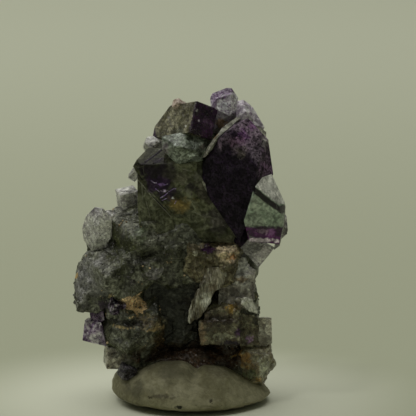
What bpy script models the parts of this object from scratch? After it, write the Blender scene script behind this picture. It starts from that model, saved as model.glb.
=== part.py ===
"""A thumbnail cluster of fluorite crystals, set upright in a flat pat of mineral tack.

Lengths are in metres, +Z is up, the front of the cluster faces -Y, and the origin is on
the surface under the middle of the pat. The cluster grew as one piece, so its crystals
and the broken rock that they grew on are fused into one solid. The tack is a second one.
"""

import itertools
import math
import random

import bmesh
import bpy
from mathutils import Matrix, Vector

MM = 0.001

# Driving sizes of the cluster
DARK_REACH = 5.0 * MM      # middle of the leading dark octahedron to its eight faces
BODY_REACH = 5.4 * MM      # the same for the large green octahedron beside it
CUBE_HALF = 1.1 * MM       # half the width of the small cube at the very top
BODY_TURN = (-123, 46, 66)  # the green octahedra grew parallel to each other
FOOT_HEIGHT = 0.5 * MM     # the cluster's own zero level above the surface
DRUSE_SMALLEST = 0.55 * MM
DRUSE_LARGEST = 1.05 * MM
DRUSE_SEED = 11

# Driving sizes of the tack
TACK_MIDDLE = Vector((1.3, -1.2, 0.0)) * MM
TACK_WIDTH = 19.4 * MM
TACK_DEPTH = 18.4 * MM
TACK_HEIGHT = 5.2 * MM
TACK_FLAT = 0.55 * MM      # how much of its round underside is pressed flat
GAP = 0.3 * MM             # between the tack and the crystals that stand in it

CUBE_NORMALS = {
    "+x": Vector((1, 0, 0)), "-x": Vector((-1, 0, 0)),
    "+y": Vector((0, 1, 0)), "-y": Vector((0, -1, 0)),
    "+z": Vector((0, 0, 1)), "-z": Vector((0, 0, -1)),
}
OCTA_NORMALS = {
    "".join("+" if sign > 0 else "-" for sign in signs): Vector(signs).normalized()
    for signs in itertools.product((1, -1), repeat=3)
}


def new_collection(name):
    collection = bpy.data.collections.new(name)
    bpy.context.scene.collection.children.link(collection)
    return collection


def new_material(name, colour, roughness, transmission):
    material = bpy.data.materials.new(name)
    material.use_nodes = True
    shader = material.node_tree.nodes["Principled BSDF"]
    shader.inputs["Base Color"].default_value = (*colour, 1.0)
    shader.inputs["Roughness"].default_value = roughness
    shader.inputs["Metallic"].default_value = 0.0
    shader.inputs["Transmission Weight"].default_value = transmission
    shader.inputs["IOR"].default_value = 1.434
    return material


def attitude(spin, lean, roll):
    """A crystal's turn in degrees: about its own axis, then towards the front, then clockwise."""
    return (
        Matrix.Rotation(math.radians(roll), 4, "Y")
        @ Matrix.Rotation(math.radians(lean), 4, "X")
        @ Matrix.Rotation(math.radians(spin), 4, "Z")
    )


def standing_at(centre):
    """A place given in millimetres from the cluster's foot, with the foot at its height."""
    return Matrix.Translation(Vector(centre) * MM + Vector((0, 0, FOOT_HEIGHT)))


def cut_flat(form, normal, distance):
    """Takes away all that lies beyond a plane, and closes the cut with one flat face."""
    cut = bmesh.ops.bisect_plane(
        form,
        geom=form.verts[:] + form.edges[:] + form.faces[:],
        dist=1e-8,
        plane_co=normal * distance,
        plane_no=normal,
        clear_outer=True,
    )
    rim = [part for part in cut["geom_cut"] if isinstance(part, bmesh.types.BMEdge)]
    if rim:
        bmesh.ops.edgeloop_fill(form, edges=rim)


def placed_object(name, form, place, collection):
    """Turns a finished form into an object whose mesh already lies in its place."""
    bmesh.ops.recalc_face_normals(form, faces=form.faces[:])
    form.transform(place)
    mesh = bpy.data.meshes.new(name)
    form.to_mesh(mesh)
    form.free()
    piece = bpy.data.objects.new(name, mesh)
    piece.hide_render = True
    piece.display_type = "WIRE"
    collection.objects.link(piece)
    return piece


def crystal(name, centre, turn, cube=None, octa=None, grown=0.0):
    """A crystal bounded by cube faces, octahedron faces or both.

    cube and octa give the distance of the faces from the centre, in millimetres: one
    number for all of them, or a dictionary by face, where "all" covers the rest.
    """
    distances = []
    for normals, given in ((CUBE_NORMALS, cube), (OCTA_NORMALS, octa)):
        if given is None:
            continue
        by_face = given if isinstance(given, dict) else {"all": given}
        for face, normal in normals.items():
            distance = by_face.get(face, by_face.get("all"))
            if distance is not None:
                distances.append((normal, distance * MM + grown))
    form = bmesh.new()
    bmesh.ops.create_cube(form, size=60 * MM)
    for normal, distance in distances:
        cut_flat(form, normal, distance)
    return placed_object(name, form, standing_at(centre) @ attitude(*turn), GROWTH)


def broken_rock(name, centre, half_size, turn, seed, breaks=24, grown=0.0):
    """A lump of massive fluorite with flat breaks all round, of the given half sizes."""
    chance = random.Random(seed)
    form = bmesh.new()
    bmesh.ops.create_cube(form, size=2.0)
    for _ in range(breaks):
        normal = Vector([chance.gauss(0, 1) for _ in range(3)]).normalized()
        cut_flat(form, normal, chance.uniform(0.80, 1.0))
    half = Vector(half_size) * MM + Vector((grown, grown, grown))
    shape = Matrix.Diagonal((*half, 1.0))
    return placed_object(name, form, standing_at(centre) @ attitude(*turn) @ shape, GROWTH)


def head_crystals():
    """The large crystals of the upper half, from the dark octahedron to the smallest knobs."""
    dark = DARK_REACH / MM
    dark_turn = (-173, 66, 20)
    crystal(
        "dark octahedron", (9.2, -2.2, 28.4), dark_turn,
        cube={"+x": 1.24 * dark, "-x": 0.2 * dark, "-y": 0.80 * dark, "+z": 1.48 * dark},
        octa={"all": dark, "++-": 1.2 * dark, "-+-": 1.2 * dark, "+--": 0.5 * dark, "--+": 0.78 * dark},
    )
    crystal(
        "rim behind the dark octahedron", (8.8, -0.7, 28.2), dark_turn,
        cube={"+x": 1.25 * dark, "-x": 0.14 * dark, "-y": 0.82 * dark},
        octa={"all": 0.86 * dark, "+--": 0.66 * dark, "--+": 0.7 * dark},
    )
    body = BODY_REACH / MM
    crystal(
        "body octahedron", (1.7, 0.8, 26.6), BODY_TURN,
        cube={"+x": 1.6 * body, "-y": 0.45 * body, "+z": 0.93 * body}, octa=body,
    )
    crystal("second body octahedron", (4.4, 1.6, 22.2), BODY_TURN, cube={"-y": 3.9}, octa=3.7)
    crystal(
        "cap cube", (0.5, -1.2, 33.4), (-58, -23, 12),
        cube={"+x": 3.95, "-x": 3.95, "+y": 1.9, "-y": 1.3, "+z": 1.95, "-z": 1.95},
        octa={"--+": 2.75, "-++": 3.1},
    )
    crystal("cap octahedron", (0.4, -2.9, 31.0), (-128, 33, -174), cube=2.5, octa={"all": 2.5, "+++": 2.6})
    crystal(
        "zoned crystal", (10.4, -5.6, 23.4), (-129, 35, 173),
        cube={"+x": 2.35, "+y": 2.5, "-y": 0.7, "+z": 3.7},
        octa={"+++": 1.7, "++-": 4.1, "+--": 2.95, "--+": 2.8, "---": 2.6},
    )
    crystal(
        "clear corner cube", (9.5, -4.8, 18.5), (8, 6, 47),
        cube={"all": 1.2, "+x": 1.0, "-x": 1.0, "+z": 1.6, "-z": 1.6},
    )
    crystal("corner behind the zoned crystal", (11.1, -3.2, 21.3), (20, 15, 10), cube=1.5, octa=1.9)
    crystal("dark crystal under the zoned one", (8.4, -3.6, 20.2), (24, 18, 30), cube=1.4, octa=1.8)
    crystal("top cube", (5.3, -0.4, 35.9), (-20, 22, -24), cube=CUBE_HALF / MM)
    crystal("top rounded crystal", (7.4, 0.3, 34.7), (35, 20, 12), cube=1.25, octa=1.6)
    crystal("shoulder crystal", (7.7, 0.6, 32.6), (15, 30, -20), cube=2.0, octa=2.3)
    crystal("lilac filling crystal", (5.4, 0.2, 33.6), (28, 12, 10), cube=1.5, octa=1.9)
    crystal("rust knob", (0.0, -0.6, 35.6), (20, 15, 30), cube=0.7, octa=0.9)
    crystal("pale left crystal", (-3.0, 0.2, 30.4), (30, 20, -15), cube=1.0, octa=1.2)
    crystal("left sliver", (-5.2, 0.4, 27.1), (10, 20, 35), cube={"all": 0.5, "+z": 0.9, "-z": 0.9})


def left_crystals():
    """The pale crystals that stick out along the left edge, from top to bottom."""
    crystal("clear left cube", (-6.1, 0.8, 23.6), (15, 12, -8), cube={"all": 1.15, "+z": 1.45, "-z": 2.2})
    crystal("small left cube", (-8.0, 0.0, 21.6), (40, 10, 15), cube=0.8)
    crystal("pale left crystal upper", (-9.5, -0.8, 21.0), (25, 18, -20), cube=1.65, octa=2.0)
    crystal("pale left crystal lower", (-9.5, -1.0, 19.0), (-10, 25, 12), cube=1.75, octa=2.1)
    crystal("purple left cube", (-10.8, -1.0, 9.2), (25, 15, -10), cube=1.4)
    crystal("purple left cube lower", (-9.8, -1.6, 7.4), (-35, 20, 10), cube=1.45)
    crystal("purple front cube", (-7.4, -5.0, 11.9), (30, 25, 20), cube=0.8)
    crystal("frosted front cube", (-3.4, -4.4, 16.4), (28, 14, -12), cube=1.3, octa=1.6)
    crystal("frosted front octahedron", (-6.4, -4.4, 14.0), (12, 30, 8), octa=1.5)


def right_crystals():
    """The clearer crystals and the quartz blade of the lower right half."""
    crystal(
        "rusty crystal", (4.1, -2.8, 16.9), (-14, 14, 3),
        cube={"all": 2.3, "+x": 3.2, "-x": 3.0}, octa={"all": 3.6},
    )
    crystal(
        "quartz blade", (3.9, -5.2, 12.6), (12, -6, 32),
        cube={"+x": 0.85, "-x": 0.85, "+y": 1.8, "-y": 1.0, "+z": 3.7, "-z": 3.8}, octa={"all": 3.9},
    )
    crystal("pale column crystal", (7.0, -1.6, 13.6), (24, 16, 8), cube={"all": 1.6, "+z": 2.5, "-z": 2.8}, octa=2.9)
    crystal("white knob", (8.6, -3.2, 11.3), (20, 30, 40), cube=0.75, octa=0.95)
    crystal("ledge block", (5.2, -2.9, 9.0), (14, 9, -6), cube={"all": 2.5, "-y": 2.1, "+z": 2.2})
    crystal("clear right cube", (9.8, -0.2, 8.2), (-18, 12, 6), cube=0.95)
    crystal("clear right cube lower", (9.7, -0.8, 6.4), (26, 10, -8), cube=1.05)


def back_crystals():
    """The crystals of the side that faces away."""
    crystal("back octahedron", (3.4, 4.2, 27.4), (20, -35, 8), cube=4.4, octa=3.2)
    crystal("back green octahedron", (-2.4, 4.2, 22.4), (-15, -28, -10), octa=2.9)
    crystal("back cube", (5.6, 5.0, 20.6), (25, -20, 12), cube=1.9)
    crystal("back lower octahedron", (-6.2, 4.2, 15.2), (40, -30, 5), cube=3.0, octa=2.5)
    crystal("back lower cube", (2.2, 6.4, 13.4), (-22, -24, -9), cube=1.9, octa=2.9)
    crystal("back right crystal", (7.4, 4.0, 14.6), (10, -18, 20), cube=1.9, octa=2.2)
    crystal("back foot crystal", (5.0, 5.4, 8.0), (32, -16, -14), cube=1.8, octa=2.3)
    crystal("back foot cube", (-3.6, 5.2, 8.4), (18, -22, 16), cube=1.7)


def foot_crystals(grown=0.0):
    """What stands in the tack, as it is or grown by the gap for the hollow that it leaves."""
    broken_rock("low left rock", (-5.6, -1.2, 8.6), (4.2, 4.8, 4.8), (20, 10, 6), 6, grown=grown)
    broken_rock("low middle rock", (1.0, 3.0, 8.4), (6.4, 4.2, 6.6), (8, 0, 0), 7, grown=grown)
    broken_rock("low right rock", (6.2, 1.0, 9.4), (3.4, 4.6, 5.8), (-15, 5, 4), 8, grown=grown)
    broken_rock("foot rock", (1.6, 0.2, 3.9), (7.2, 5.6, 2.6), (6, 0, 0), 9, grown=grown)
    broken_rock("low right foot rock", (7.2, -0.6, 4.2), (2.6, 3.4, 2.8), (20, 4, 0), 10, grown=grown)
    crystal("green low crystal", (8.8, -1.8, 4.4), (-30, 18, 14), cube=2.2, octa=2.6, grown=grown)
    crystal("clear low cube", (-8.2, -1.5, 5.0), (12, 10, 5), cube={"all": 1.15, "+z": 1.3}, grown=grown)
    crystal("dark low cube", (-6.2, -4.9, 3.9), (35, 10, 25), cube=0.8, grown=grown)
    crystal("link above the dark low cube", (-5.6, -4.0, 5.2), (10, 20, 15), cube=1.0, octa=1.2, grown=grown)


# Each upper lump of the rock that the crystals grew on: name, centre, half sizes, turn, seed
ROCK = (
    ("head rock", (3.6, 1.6, 29.4), (4.4, 3.6, 4.6), (10, 5, -12), 1),
    ("neck rock", (2.2, 1.4, 22.6), (6.2, 4.6, 5.0), (25, -6, 8), 2),
    ("waist rock", (-0.8, 0.8, 17.6), (7.8, 5.6, 5.0), (5, 8, 5), 3),
    ("left rock", (-6.4, -0.8, 15.6), (5.2, 4.6, 5.2), (30, 4, -8), 4),
    ("bulge rock", (-9.3, 0.0, 14.2), (3.4, 3.8, 3.6), (12, 0, 10), 5),
    ("shoulder rock", (-4.6, -0.6, 20.0), (3.8, 4.4, 3.2), (14, 12, -22), 12),
)

# Where small crystals cover the rock: centre, half sizes and turn of the lump, and how many
DRUSE_ON = (
    ((-0.8, 0.8, 17.6), (7.6, 5.5, 4.9), (5, 8, 5), 16),
    ((-6.4, -0.8, 15.6), (5.1, 4.5, 5.1), (30, 4, -8), 30),
    ((-9.3, 0.0, 14.2), (3.3, 3.7, 3.5), (12, 0, 10), 22),
    ((-5.6, -1.2, 9.0), (4.1, 4.7, 4.4), (20, 10, 6), 34),
    ((6.2, 1.0, 10.4), (3.3, 4.5, 4.8), (-15, 5, 4), 20),
    ((-4.6, -0.6, 20.0), (3.7, 4.3, 3.1), (14, 12, -22), 14),
    ((2.0, 1.8, 21.6), (5.6, 4.4, 4.0), (25, -6, 8), 10),
)
DRUSE_LOWEST = 6.6


def druse():
    """Small crystals that cover the rock: cubes with cut corners, each in its own attitude."""
    chance = random.Random(DRUSE_SEED)
    for centre, half_size, turn, count in DRUSE_ON:
        for number in range(count):
            way = Vector([chance.gauss(0, 1) for _ in range(3)]).normalized()
            foot = Vector([0.86 * a * b for a, b in zip(half_size, way)])
            spot = Vector(centre) + attitude(*turn).to_3x3() @ foot
            size = chance.uniform(DRUSE_SMALLEST, DRUSE_LARGEST) / MM
            lie = (chance.uniform(0, 90), chance.uniform(5, 45), chance.uniform(-25, 25))
            corner = size * chance.uniform(1.15, 1.6)
            if spot.z > DRUSE_LOWEST:
                crystal(f"druse {number}", spot, lie, cube=size, octa=corner)


def drop_pockets(form):
    """Keeps the outer skin alone, without the closed pockets left between the crystals."""
    left = set(form.faces)
    skins = []
    while left:
        skin = {left.pop()}
        edge_of_search = list(skin)
        while edge_of_search:
            face = edge_of_search.pop()
            for edge in face.edges:
                for other in edge.link_faces:
                    if other in left:
                        left.discard(other)
                        skin.add(other)
                        edge_of_search.append(other)
        skins.append(skin)
    outer = max(skins, key=lambda skin: sum(face.calc_area() for face in skin))
    inner = [face for skin in skins if skin is not outer for face in skin]
    bmesh.ops.delete(form, geom=inner, context="FACES")


def fused(name, pieces, material):
    """Joins the pieces into one solid with the Boolean modifier, and keeps its outer skin."""
    base = bpy.data.objects.new(name, pieces[0].data.copy())
    PARTS.objects.link(base)
    others = new_collection(f"{name} joined")
    for piece in pieces[1:]:
        others.objects.link(piece)
    join = base.modifiers.new("Join", "BOOLEAN")
    join.operation = "UNION"
    join.operand_type = "COLLECTION"
    join.collection = others
    join.solver = "EXACT"
    graph = bpy.context.evaluated_depsgraph_get()
    mesh = bpy.data.meshes.new_from_object(base.evaluated_get(graph))
    base.modifiers.remove(join)
    bpy.data.collections.remove(others)
    form = bmesh.new()
    form.from_mesh(mesh)
    drop_pockets(form)
    bmesh.ops.remove_doubles(form, verts=form.verts[:], dist=0.002 * MM)
    bmesh.ops.dissolve_degenerate(form, dist=0.002 * MM, edges=form.edges[:])
    form.to_mesh(mesh)
    form.free()
    mesh.materials.clear()
    mesh.materials.append(material)
    base.data = mesh
    for piece in pieces:
        bpy.data.objects.remove(piece)
    return base


def fluorite():
    """All crystals and the rock under them, as the one solid that they grew into."""
    for name, centre, half_size, turn, seed in ROCK:
        broken_rock(name, centre, half_size, turn, seed)
    foot_crystals()
    head_crystals()
    left_crystals()
    right_crystals()
    back_crystals()
    druse()
    material = new_material("Purple and green fluorite", (0.13, 0.12, 0.13), 0.2, 0.6)
    return fused("fluorite_specimen", list(GROWTH.objects), material)


def tack():
    """The pat: a ball squashed between fingers, flat underneath, with the cluster's foot in it."""
    form = bmesh.new()
    bmesh.ops.create_uvsphere(form, u_segments=40, v_segments=20, radius=1.0)
    for vert in form.verts:
        round_out = 1.0 + 0.025 * math.sin(3 * math.atan2(vert.co.y, vert.co.x) + 0.6)
        vert.co.x *= round_out
        vert.co.y *= round_out
        vert.co.z = math.copysign(abs(vert.co.z) ** 0.8, vert.co.z)
    half = Vector((TACK_WIDTH / 2, TACK_DEPTH / 2, (TACK_HEIGHT + TACK_FLAT) / 2))
    form.transform(Matrix.Diagonal((*half, 1.0)))
    cut_flat(form, Vector((0, 0, -1)), half.z - TACK_FLAT)
    middle = Matrix.Translation(TACK_MIDDLE + Vector((0, 0, half.z - TACK_FLAT)))
    pat = placed_object("putty_base", form, middle, PARTS)
    pat.hide_render = False
    pat.display_type = "TEXTURED"
    pat.data.materials.append(new_material("Mineral tack", (0.16, 0.15, 0.11), 0.65, 0.0))
    pat.data.shade_smooth()
    pat.data.set_sharp_from_angle(angle=math.radians(40))
    foot_crystals(grown=GAP)
    hollow = pat.modifiers.new("Hollow for the foot", "BOOLEAN")
    hollow.operation = "DIFFERENCE"
    hollow.operand_type = "COLLECTION"
    hollow.collection = GROWTH
    hollow.solver = "EXACT"
    return pat


for old in list(bpy.data.objects):
    bpy.data.objects.remove(old)

PARTS = new_collection("Fluorite on tack")
GROWTH = new_collection("Crystals before they are joined")

fluorite()
tack()
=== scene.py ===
import itertools
import math
import random

import bmesh
import bpy
from mathutils import Matrix, Vector, noise


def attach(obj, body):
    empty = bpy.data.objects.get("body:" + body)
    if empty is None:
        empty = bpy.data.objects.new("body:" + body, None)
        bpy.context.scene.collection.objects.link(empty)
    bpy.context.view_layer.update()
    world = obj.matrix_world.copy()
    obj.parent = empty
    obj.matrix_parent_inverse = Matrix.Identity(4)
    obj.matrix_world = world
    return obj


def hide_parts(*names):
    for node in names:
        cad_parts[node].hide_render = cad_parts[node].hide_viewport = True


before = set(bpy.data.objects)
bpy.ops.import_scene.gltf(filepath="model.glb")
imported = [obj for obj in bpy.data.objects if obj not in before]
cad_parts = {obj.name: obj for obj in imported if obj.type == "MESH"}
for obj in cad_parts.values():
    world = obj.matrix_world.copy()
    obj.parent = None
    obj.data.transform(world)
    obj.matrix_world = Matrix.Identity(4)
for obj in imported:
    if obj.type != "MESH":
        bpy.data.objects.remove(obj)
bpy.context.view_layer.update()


# The studio: a pale sweep that the specimen stands on, darker and greener away from it, one
# very large soft lamp high behind it, one small lamp for the glints and a weak even sky. The
# lens is long, a little above the specimen, square to the face of the leading crystal.
LENS_HEIGHT = math.radians(10)
LENS_DISTANCE = 0.45
LENS_LENGTH = 324.5
FILM_WIDTH = 36.0
NEAREST_SEEN = 0.05
LOOKED_AT = Vector((0.00348, 0.0, 0.02340))
SKY = (0.13, 0.134, 0.108)
LAMP_COLOUR = (1.0, 0.99, 0.94)
LAMPS = (  # size, power, place
    ("soft lamp", 1.4, 6.6, (-0.20, 0.22, 0.75)),
    ("small lamp", 0.07, 0.30, (-0.22, -0.26, 0.55)),
)
SWEEP_RADIUS = 3.0
SWEEP_NEAR = (0.66, 0.68, 0.56)
SWEEP_SHADE = (0.40, 0.42, 0.31)
SWEEP_FAR = (0.51, 0.53, 0.42)
SHADE_FROM, SHADE_TO = 0.012, 0.034
FAR_FROM, FAR_TO = 0.03, 0.36


def node(tree, kind, inputs=None, **settings):
    """Adds a node with its settings, and links or sets its inputs."""
    made = tree.nodes.new(kind)
    for name, value in settings.items():
        setattr(made, name, value)
    for key, value in (inputs or {}).items():
        if isinstance(value, bpy.types.NodeSocket):
            tree.links.new(value, made.inputs[key])
        else:
            made.inputs[key].default_value = value
    return made


def tinted(tree, mask, first, second):
    """Passes from the first colour to the second as the mask goes from 0 to 1."""
    first = (*first, 1.0) if isinstance(first, tuple) else first
    second = (*second, 1.0) if isinstance(second, tuple) else second
    mix = node(tree, "ShaderNodeMix", {0: mask, 6: first, 7: second}, data_type="RGBA")
    return mix.outputs[2]


def passing(tree, value, start, end):
    """A soft step of a value from its start to its end."""
    return node(
        tree, "ShaderNodeMapRange", {"Value": value, "From Min": start, "From Max": end},
        interpolation_type="SMOOTHSTEP",
    ).outputs["Result"]


def vectors(tree, operation, *values):
    """Maths on vectors, which gives a number for a length or a dot product."""
    made = node(tree, "ShaderNodeVectorMath", dict(enumerate(values)), operation=operation)
    return made.outputs["Value" if operation in ("LENGTH", "DOT_PRODUCT") else "Vector"]


camera = bpy.data.objects.new("camera", bpy.data.cameras.new("camera"))
camera.data.sensor_width = FILM_WIDTH
camera.data.lens = LENS_LENGTH
camera.data.clip_start = NEAREST_SEEN
looking = Vector((0, math.cos(LENS_HEIGHT), -math.sin(LENS_HEIGHT)))
camera.location = LOOKED_AT - looking * LENS_DISTANCE
camera.rotation_euler = (math.radians(90) - LENS_HEIGHT, 0, 0)
bpy.context.collection.objects.link(camera)
bpy.context.scene.camera = camera

for label, size, power, stand in LAMPS:
    lamp = bpy.data.objects.new(label, bpy.data.lights.new(label, "AREA"))
    lamp.data.shape = "DISK"
    lamp.data.size = size
    lamp.data.energy = power
    lamp.data.color = LAMP_COLOUR
    lamp.location = stand
    lamp.rotation_euler = (-lamp.location).to_track_quat("-Z", "Y").to_euler()
    bpy.context.collection.objects.link(lamp)

sky = bpy.data.worlds.new("even sky")
sky.use_nodes = True
sky.node_tree.nodes["Background"].inputs["Color"].default_value = (*SKY, 1.0)
bpy.context.scene.world = sky
bpy.context.scene.view_settings.view_transform = "Standard"

sweep_form = bmesh.new()
bmesh.ops.create_circle(sweep_form, cap_ends=True, radius=SWEEP_RADIUS, segments=96)
sweep_mesh = bpy.data.meshes.new("sweep")
sweep_form.to_mesh(sweep_mesh)
sweep_form.free()
sweep = bpy.data.objects.new("sweep", sweep_mesh)
bpy.context.collection.objects.link(sweep)
pale = bpy.data.materials.new("pale sweep")
pale.use_nodes = True
tree = pale.node_tree
place = node(tree, "ShaderNodeTexCoord").outputs["Object"]
away = vectors(tree, "LENGTH", place)
colour = tinted(tree, passing(tree, away, SHADE_FROM, SHADE_TO), SWEEP_NEAR, SWEEP_SHADE)
colour = tinted(tree, passing(tree, away, FAR_FROM, FAR_TO), colour, SWEEP_FAR)
shader = tree.nodes["Principled BSDF"]
tree.links.new(colour, shader.inputs["Base Color"])
shader.inputs["Roughness"].default_value = 0.9
shader.inputs["Specular IOR Level"].default_value = 0.1
sweep_mesh.materials.append(pale)


# The leading crystal: an octahedron of deep purple fluorite with smooth flat faces, almost black
# in the middle and dusty lilac where it thins towards the top. A rim of older, paler fluorite,
# grown in low steps, runs along its upper left edge, with rust in the joint.
MM = 0.001
FOOT_HEIGHT = 0.5
UNCUT = 60
FLUORITE_IOR = 1.434
CLOUD_EDGES = (0.36, 0.64)
MOTTLE_EDGES = (0.38, 0.64)
WAVES_IN_A_METRE = 900.0
DEEP = (1, 0.4, 1)
RIM_REACH = 5.0
RIM_TURN = (-173, 66, 20)
DARK = (
    (2.8, -4.9, 27.1), (2.8, -4.9, 28.9), (4.5, -6.0, 32.2), (5.8, -7.0, 33.3), (9.1, -8.6, 29.2),
    (9.2, -8.3, 27.2), (7.3, -5.3, 19.6), (3.4, -4.9, 25.3), (6.6, -5.0, 33.9), (8.2, -5.0, 34.6),
    (10.6, -5.6, 32.1), (11.2, -6.0, 28.0), (4.3, -1.0, 30.1), (7.9, 1.5, 32.7), (10.5, 1.3, 30.0),
    (8.5, 0.5, 25.0), (7.1, -1.5, 21.1),
)
BAND = (
    (2.8, -5.6, 29.9), (3.2, -6.0, 30.1), (4.5, -6.3, 32.3), (7.3, -4.6, 34.5), (6.9, -4.2, 34.6),
    (5.1, -5.2, 33.4), (3.4, -5.6, 31.2), (3.1, -2.5, 29.4), (5.5, -1.8, 32.2), (7.3, -1.4, 33.9),
)
SEAM_RIGHT = (
    (2.5, -5.2, 27.8), (3.2, -5.0, 26.2), (7.45, -3.75, 19.2), (7.3, -3.8, 19.2),
    (3.05, -5.05, 26.2), (3.1, -4.4, 26.2), (7.3, -3.3, 19.3), (2.5, -4.7, 27.8),
)
CUBE_NORMALS = {
    "+x": Vector((1, 0, 0)), "-x": Vector((-1, 0, 0)),
    "+y": Vector((0, 1, 0)), "-y": Vector((0, -1, 0)),
    "+z": Vector((0, 0, 1)), "-z": Vector((0, 0, -1)),
}
OCTA_NORMALS = {
    "".join("+" if sign > 0 else "-" for sign in signs): Vector(signs).normalized()
    for signs in itertools.product((1, -1), repeat=3)
}


def attitude(spin, lean, roll):
    """A crystal's turn in degrees: about its own axis, then towards the front, then clockwise."""
    return (
        Matrix.Rotation(math.radians(roll), 4, "Y")
        @ Matrix.Rotation(math.radians(lean), 4, "X")
        @ Matrix.Rotation(math.radians(spin), 4, "Z")
    )


def standing_at(centre):
    """The place of a crystal whose centre is given in millimetres from the cluster's foot."""
    return Matrix.Translation(Vector(centre) + Vector((0, 0, FOOT_HEIGHT)))


def cut_flat(form, normal, distance):
    """Takes away all that lies beyond a plane, and closes the cut with one flat face."""
    cut = bmesh.ops.bisect_plane(
        form, geom=form.verts[:] + form.edges[:] + form.faces[:], dist=1e-8,
        plane_co=normal * distance, plane_no=normal, clear_outer=True,
    )
    rim = [part for part in cut["geom_cut"] if isinstance(part, bmesh.types.BMEdge)]
    if rim:
        bmesh.ops.edgeloop_fill(form, edges=rim)


def planes(cube, octa):
    """The faces of a crystal, as pairs of a normal and its distance from the centre."""
    faces = []
    for normals, given in ((CUBE_NORMALS, cube), (OCTA_NORMALS, octa)):
        by_face = given if isinstance(given, dict) else {"all": given}
        for face, normal in normals.items():
            distance = by_face.get(face, by_face.get("all"))
            if distance is not None:
                faces.append((normal, distance))
    return faces


def crystal(centre, turn, cube=None, octa=None, steps=0, seed=1, rise=0.07):
    """A crystal of cube faces, octahedron faces or both, at their millimetres from its centre.

    steps is how many low terraces stand on its faces, each a smaller crystal grown parallel.
    """
    chance = random.Random(seed)
    faces = planes(cube, octa)
    grown = [(1.0, Vector((0, 0, 0)))]
    for _ in range(steps):
        normal, distance = chance.choice(faces)
        share = chance.uniform(0.35, 0.85)
        shift = normal * ((1 - share) * distance + chance.uniform(0.3, 1.0) * rise)
        aside = Vector([chance.gauss(0, 1) for _ in range(3)])
        aside = (aside - normal * aside.dot(normal)).normalized()
        room = [
            ((1 - share) * far - shift.dot(other)) / aside.dot(other)
            for other, far in faces if other != normal and aside.dot(other) > 0.05
        ]
        slide = aside * max(0.0, min(room, default=0.0)) * chance.uniform(0.2, 1.0)
        grown.append((share, shift + slide))
    form = bmesh.new()
    for share, shift in grown:
        one = bmesh.new()
        bmesh.ops.create_cube(one, size=UNCUT)
        for normal, distance in faces:
            cut_flat(one, normal, distance * share)
        one.transform(standing_at(centre) @ attitude(*turn) @ Matrix.Translation(shift))
        add_form(form, one)
    return form


def block(*corners):
    """A crystal given by its corners, in millimetres from the cluster's foot."""
    form = bmesh.new()
    verts = [form.verts.new(Vector(corner) + Vector((0, 0, FOOT_HEIGHT))) for corner in corners]
    hull = bmesh.ops.convex_hull(form, input=verts)
    spare = set(hull["geom_interior"] + hull["geom_unused"])
    spare = [part for part in spare if isinstance(part, bmesh.types.BMVert)]
    bmesh.ops.delete(form, geom=spare, context="VERTS")
    return form


def add_form(form, one):
    """Adds a form to another as a closed shell of its own, facing outwards."""
    bmesh.ops.recalc_face_normals(one, faces=one.faces[:])
    mesh = bpy.data.meshes.new("one form")
    one.to_mesh(mesh)
    one.free()
    form.from_mesh(mesh)
    bpy.data.meshes.remove(mesh)


def as_piece(name, forms, edge=0.05):
    """Joins forms into one crisp piece, with its edges worn by the given width."""
    joined = bmesh.new()
    for form in forms:
        add_form(joined, form)
    if edge:
        bmesh.ops.dissolve_limit(
            joined, angle_limit=math.radians(1), verts=joined.verts[:], edges=joined.edges[:],
        )
        bmesh.ops.bevel(
            joined, geom=joined.edges[:], offset=edge, segments=1, affect="EDGES",
            clamp_overlap=True,
        )
    joined.transform(Matrix.Scale(MM, 4))
    mesh = bpy.data.meshes.new(name)
    joined.to_mesh(mesh)
    joined.free()
    piece = bpy.data.objects.new(name, mesh)
    bpy.context.collection.objects.link(piece)
    return piece


def shader_group(name, inputs, outputs):
    """Starts a node group, and gives it with its inputs and its outputs."""
    group = bpy.data.node_groups.new(name, "ShaderNodeTree")
    for label, value in inputs.items():
        kind = "NodeSocketVector" if isinstance(value, tuple) else "NodeSocketFloat"
        group.interface.new_socket(label, in_out="INPUT", socket_type=kind).default_value = value
    for label in outputs:
        group.interface.new_socket(label, in_out="OUTPUT", socket_type="NodeSocketFloat")
    given = group.nodes.new("NodeGroupInput").outputs
    return group, given, group.nodes.new("NodeGroupOutput").inputs


def scaled(tree, vector, factor):
    """A vector or a colour times a number."""
    sockets = {0: vector, "Scale": factor}
    return node(tree, "ShaderNodeVectorMath", sockets, operation="SCALE").outputs["Vector"]


def ranged(tree, value, low, high):
    """Turns a value from 0 to 1 into one from low to high."""
    sockets = {"Value": value, "To Min": low, "To Max": high}
    return node(tree, "ShaderNodeMapRange", sockets).outputs["Result"]


def maths(tree, operation, *values):
    """Maths on numbers."""
    return node(tree, "ShaderNodeMath", dict(enumerate(values)), operation=operation).outputs[0]


# cloudy growth: wide clouds, finer mottles, specks, and the mottles' height for the bump
CLOUDS, given, result = shader_group(
    "Cloudy growth",
    {
        "Place": (0.0, 0.0, 0.0), "Cloud Size": 0.002, "Mottle Size": 0.0006,
        "Speck Size": 0.0003, "Speck Share": 0.3,
    },
    ("Cloud", "Mottle", "Speck", "Height"),
)
layers = {}
for label, detail, bend in (("Cloud", 3.0, 0.6), ("Mottle", 4.0, 0.8), ("Speck", 2.0, 0.0)):
    layers[label] = node(CLOUDS, "ShaderNodeTexNoise", {
        "Vector": given["Place"], "Scale": maths(CLOUDS, "DIVIDE", 1.0, given[f"{label} Size"]),
        "Detail": detail, "Roughness": 0.6, "Distortion": bend,
    }).outputs["Fac"]
CLOUDS.links.new(passing(CLOUDS, layers["Cloud"], *CLOUD_EDGES), result["Cloud"])
CLOUDS.links.new(passing(CLOUDS, layers["Mottle"], *MOTTLE_EDGES), result["Mottle"])
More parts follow.
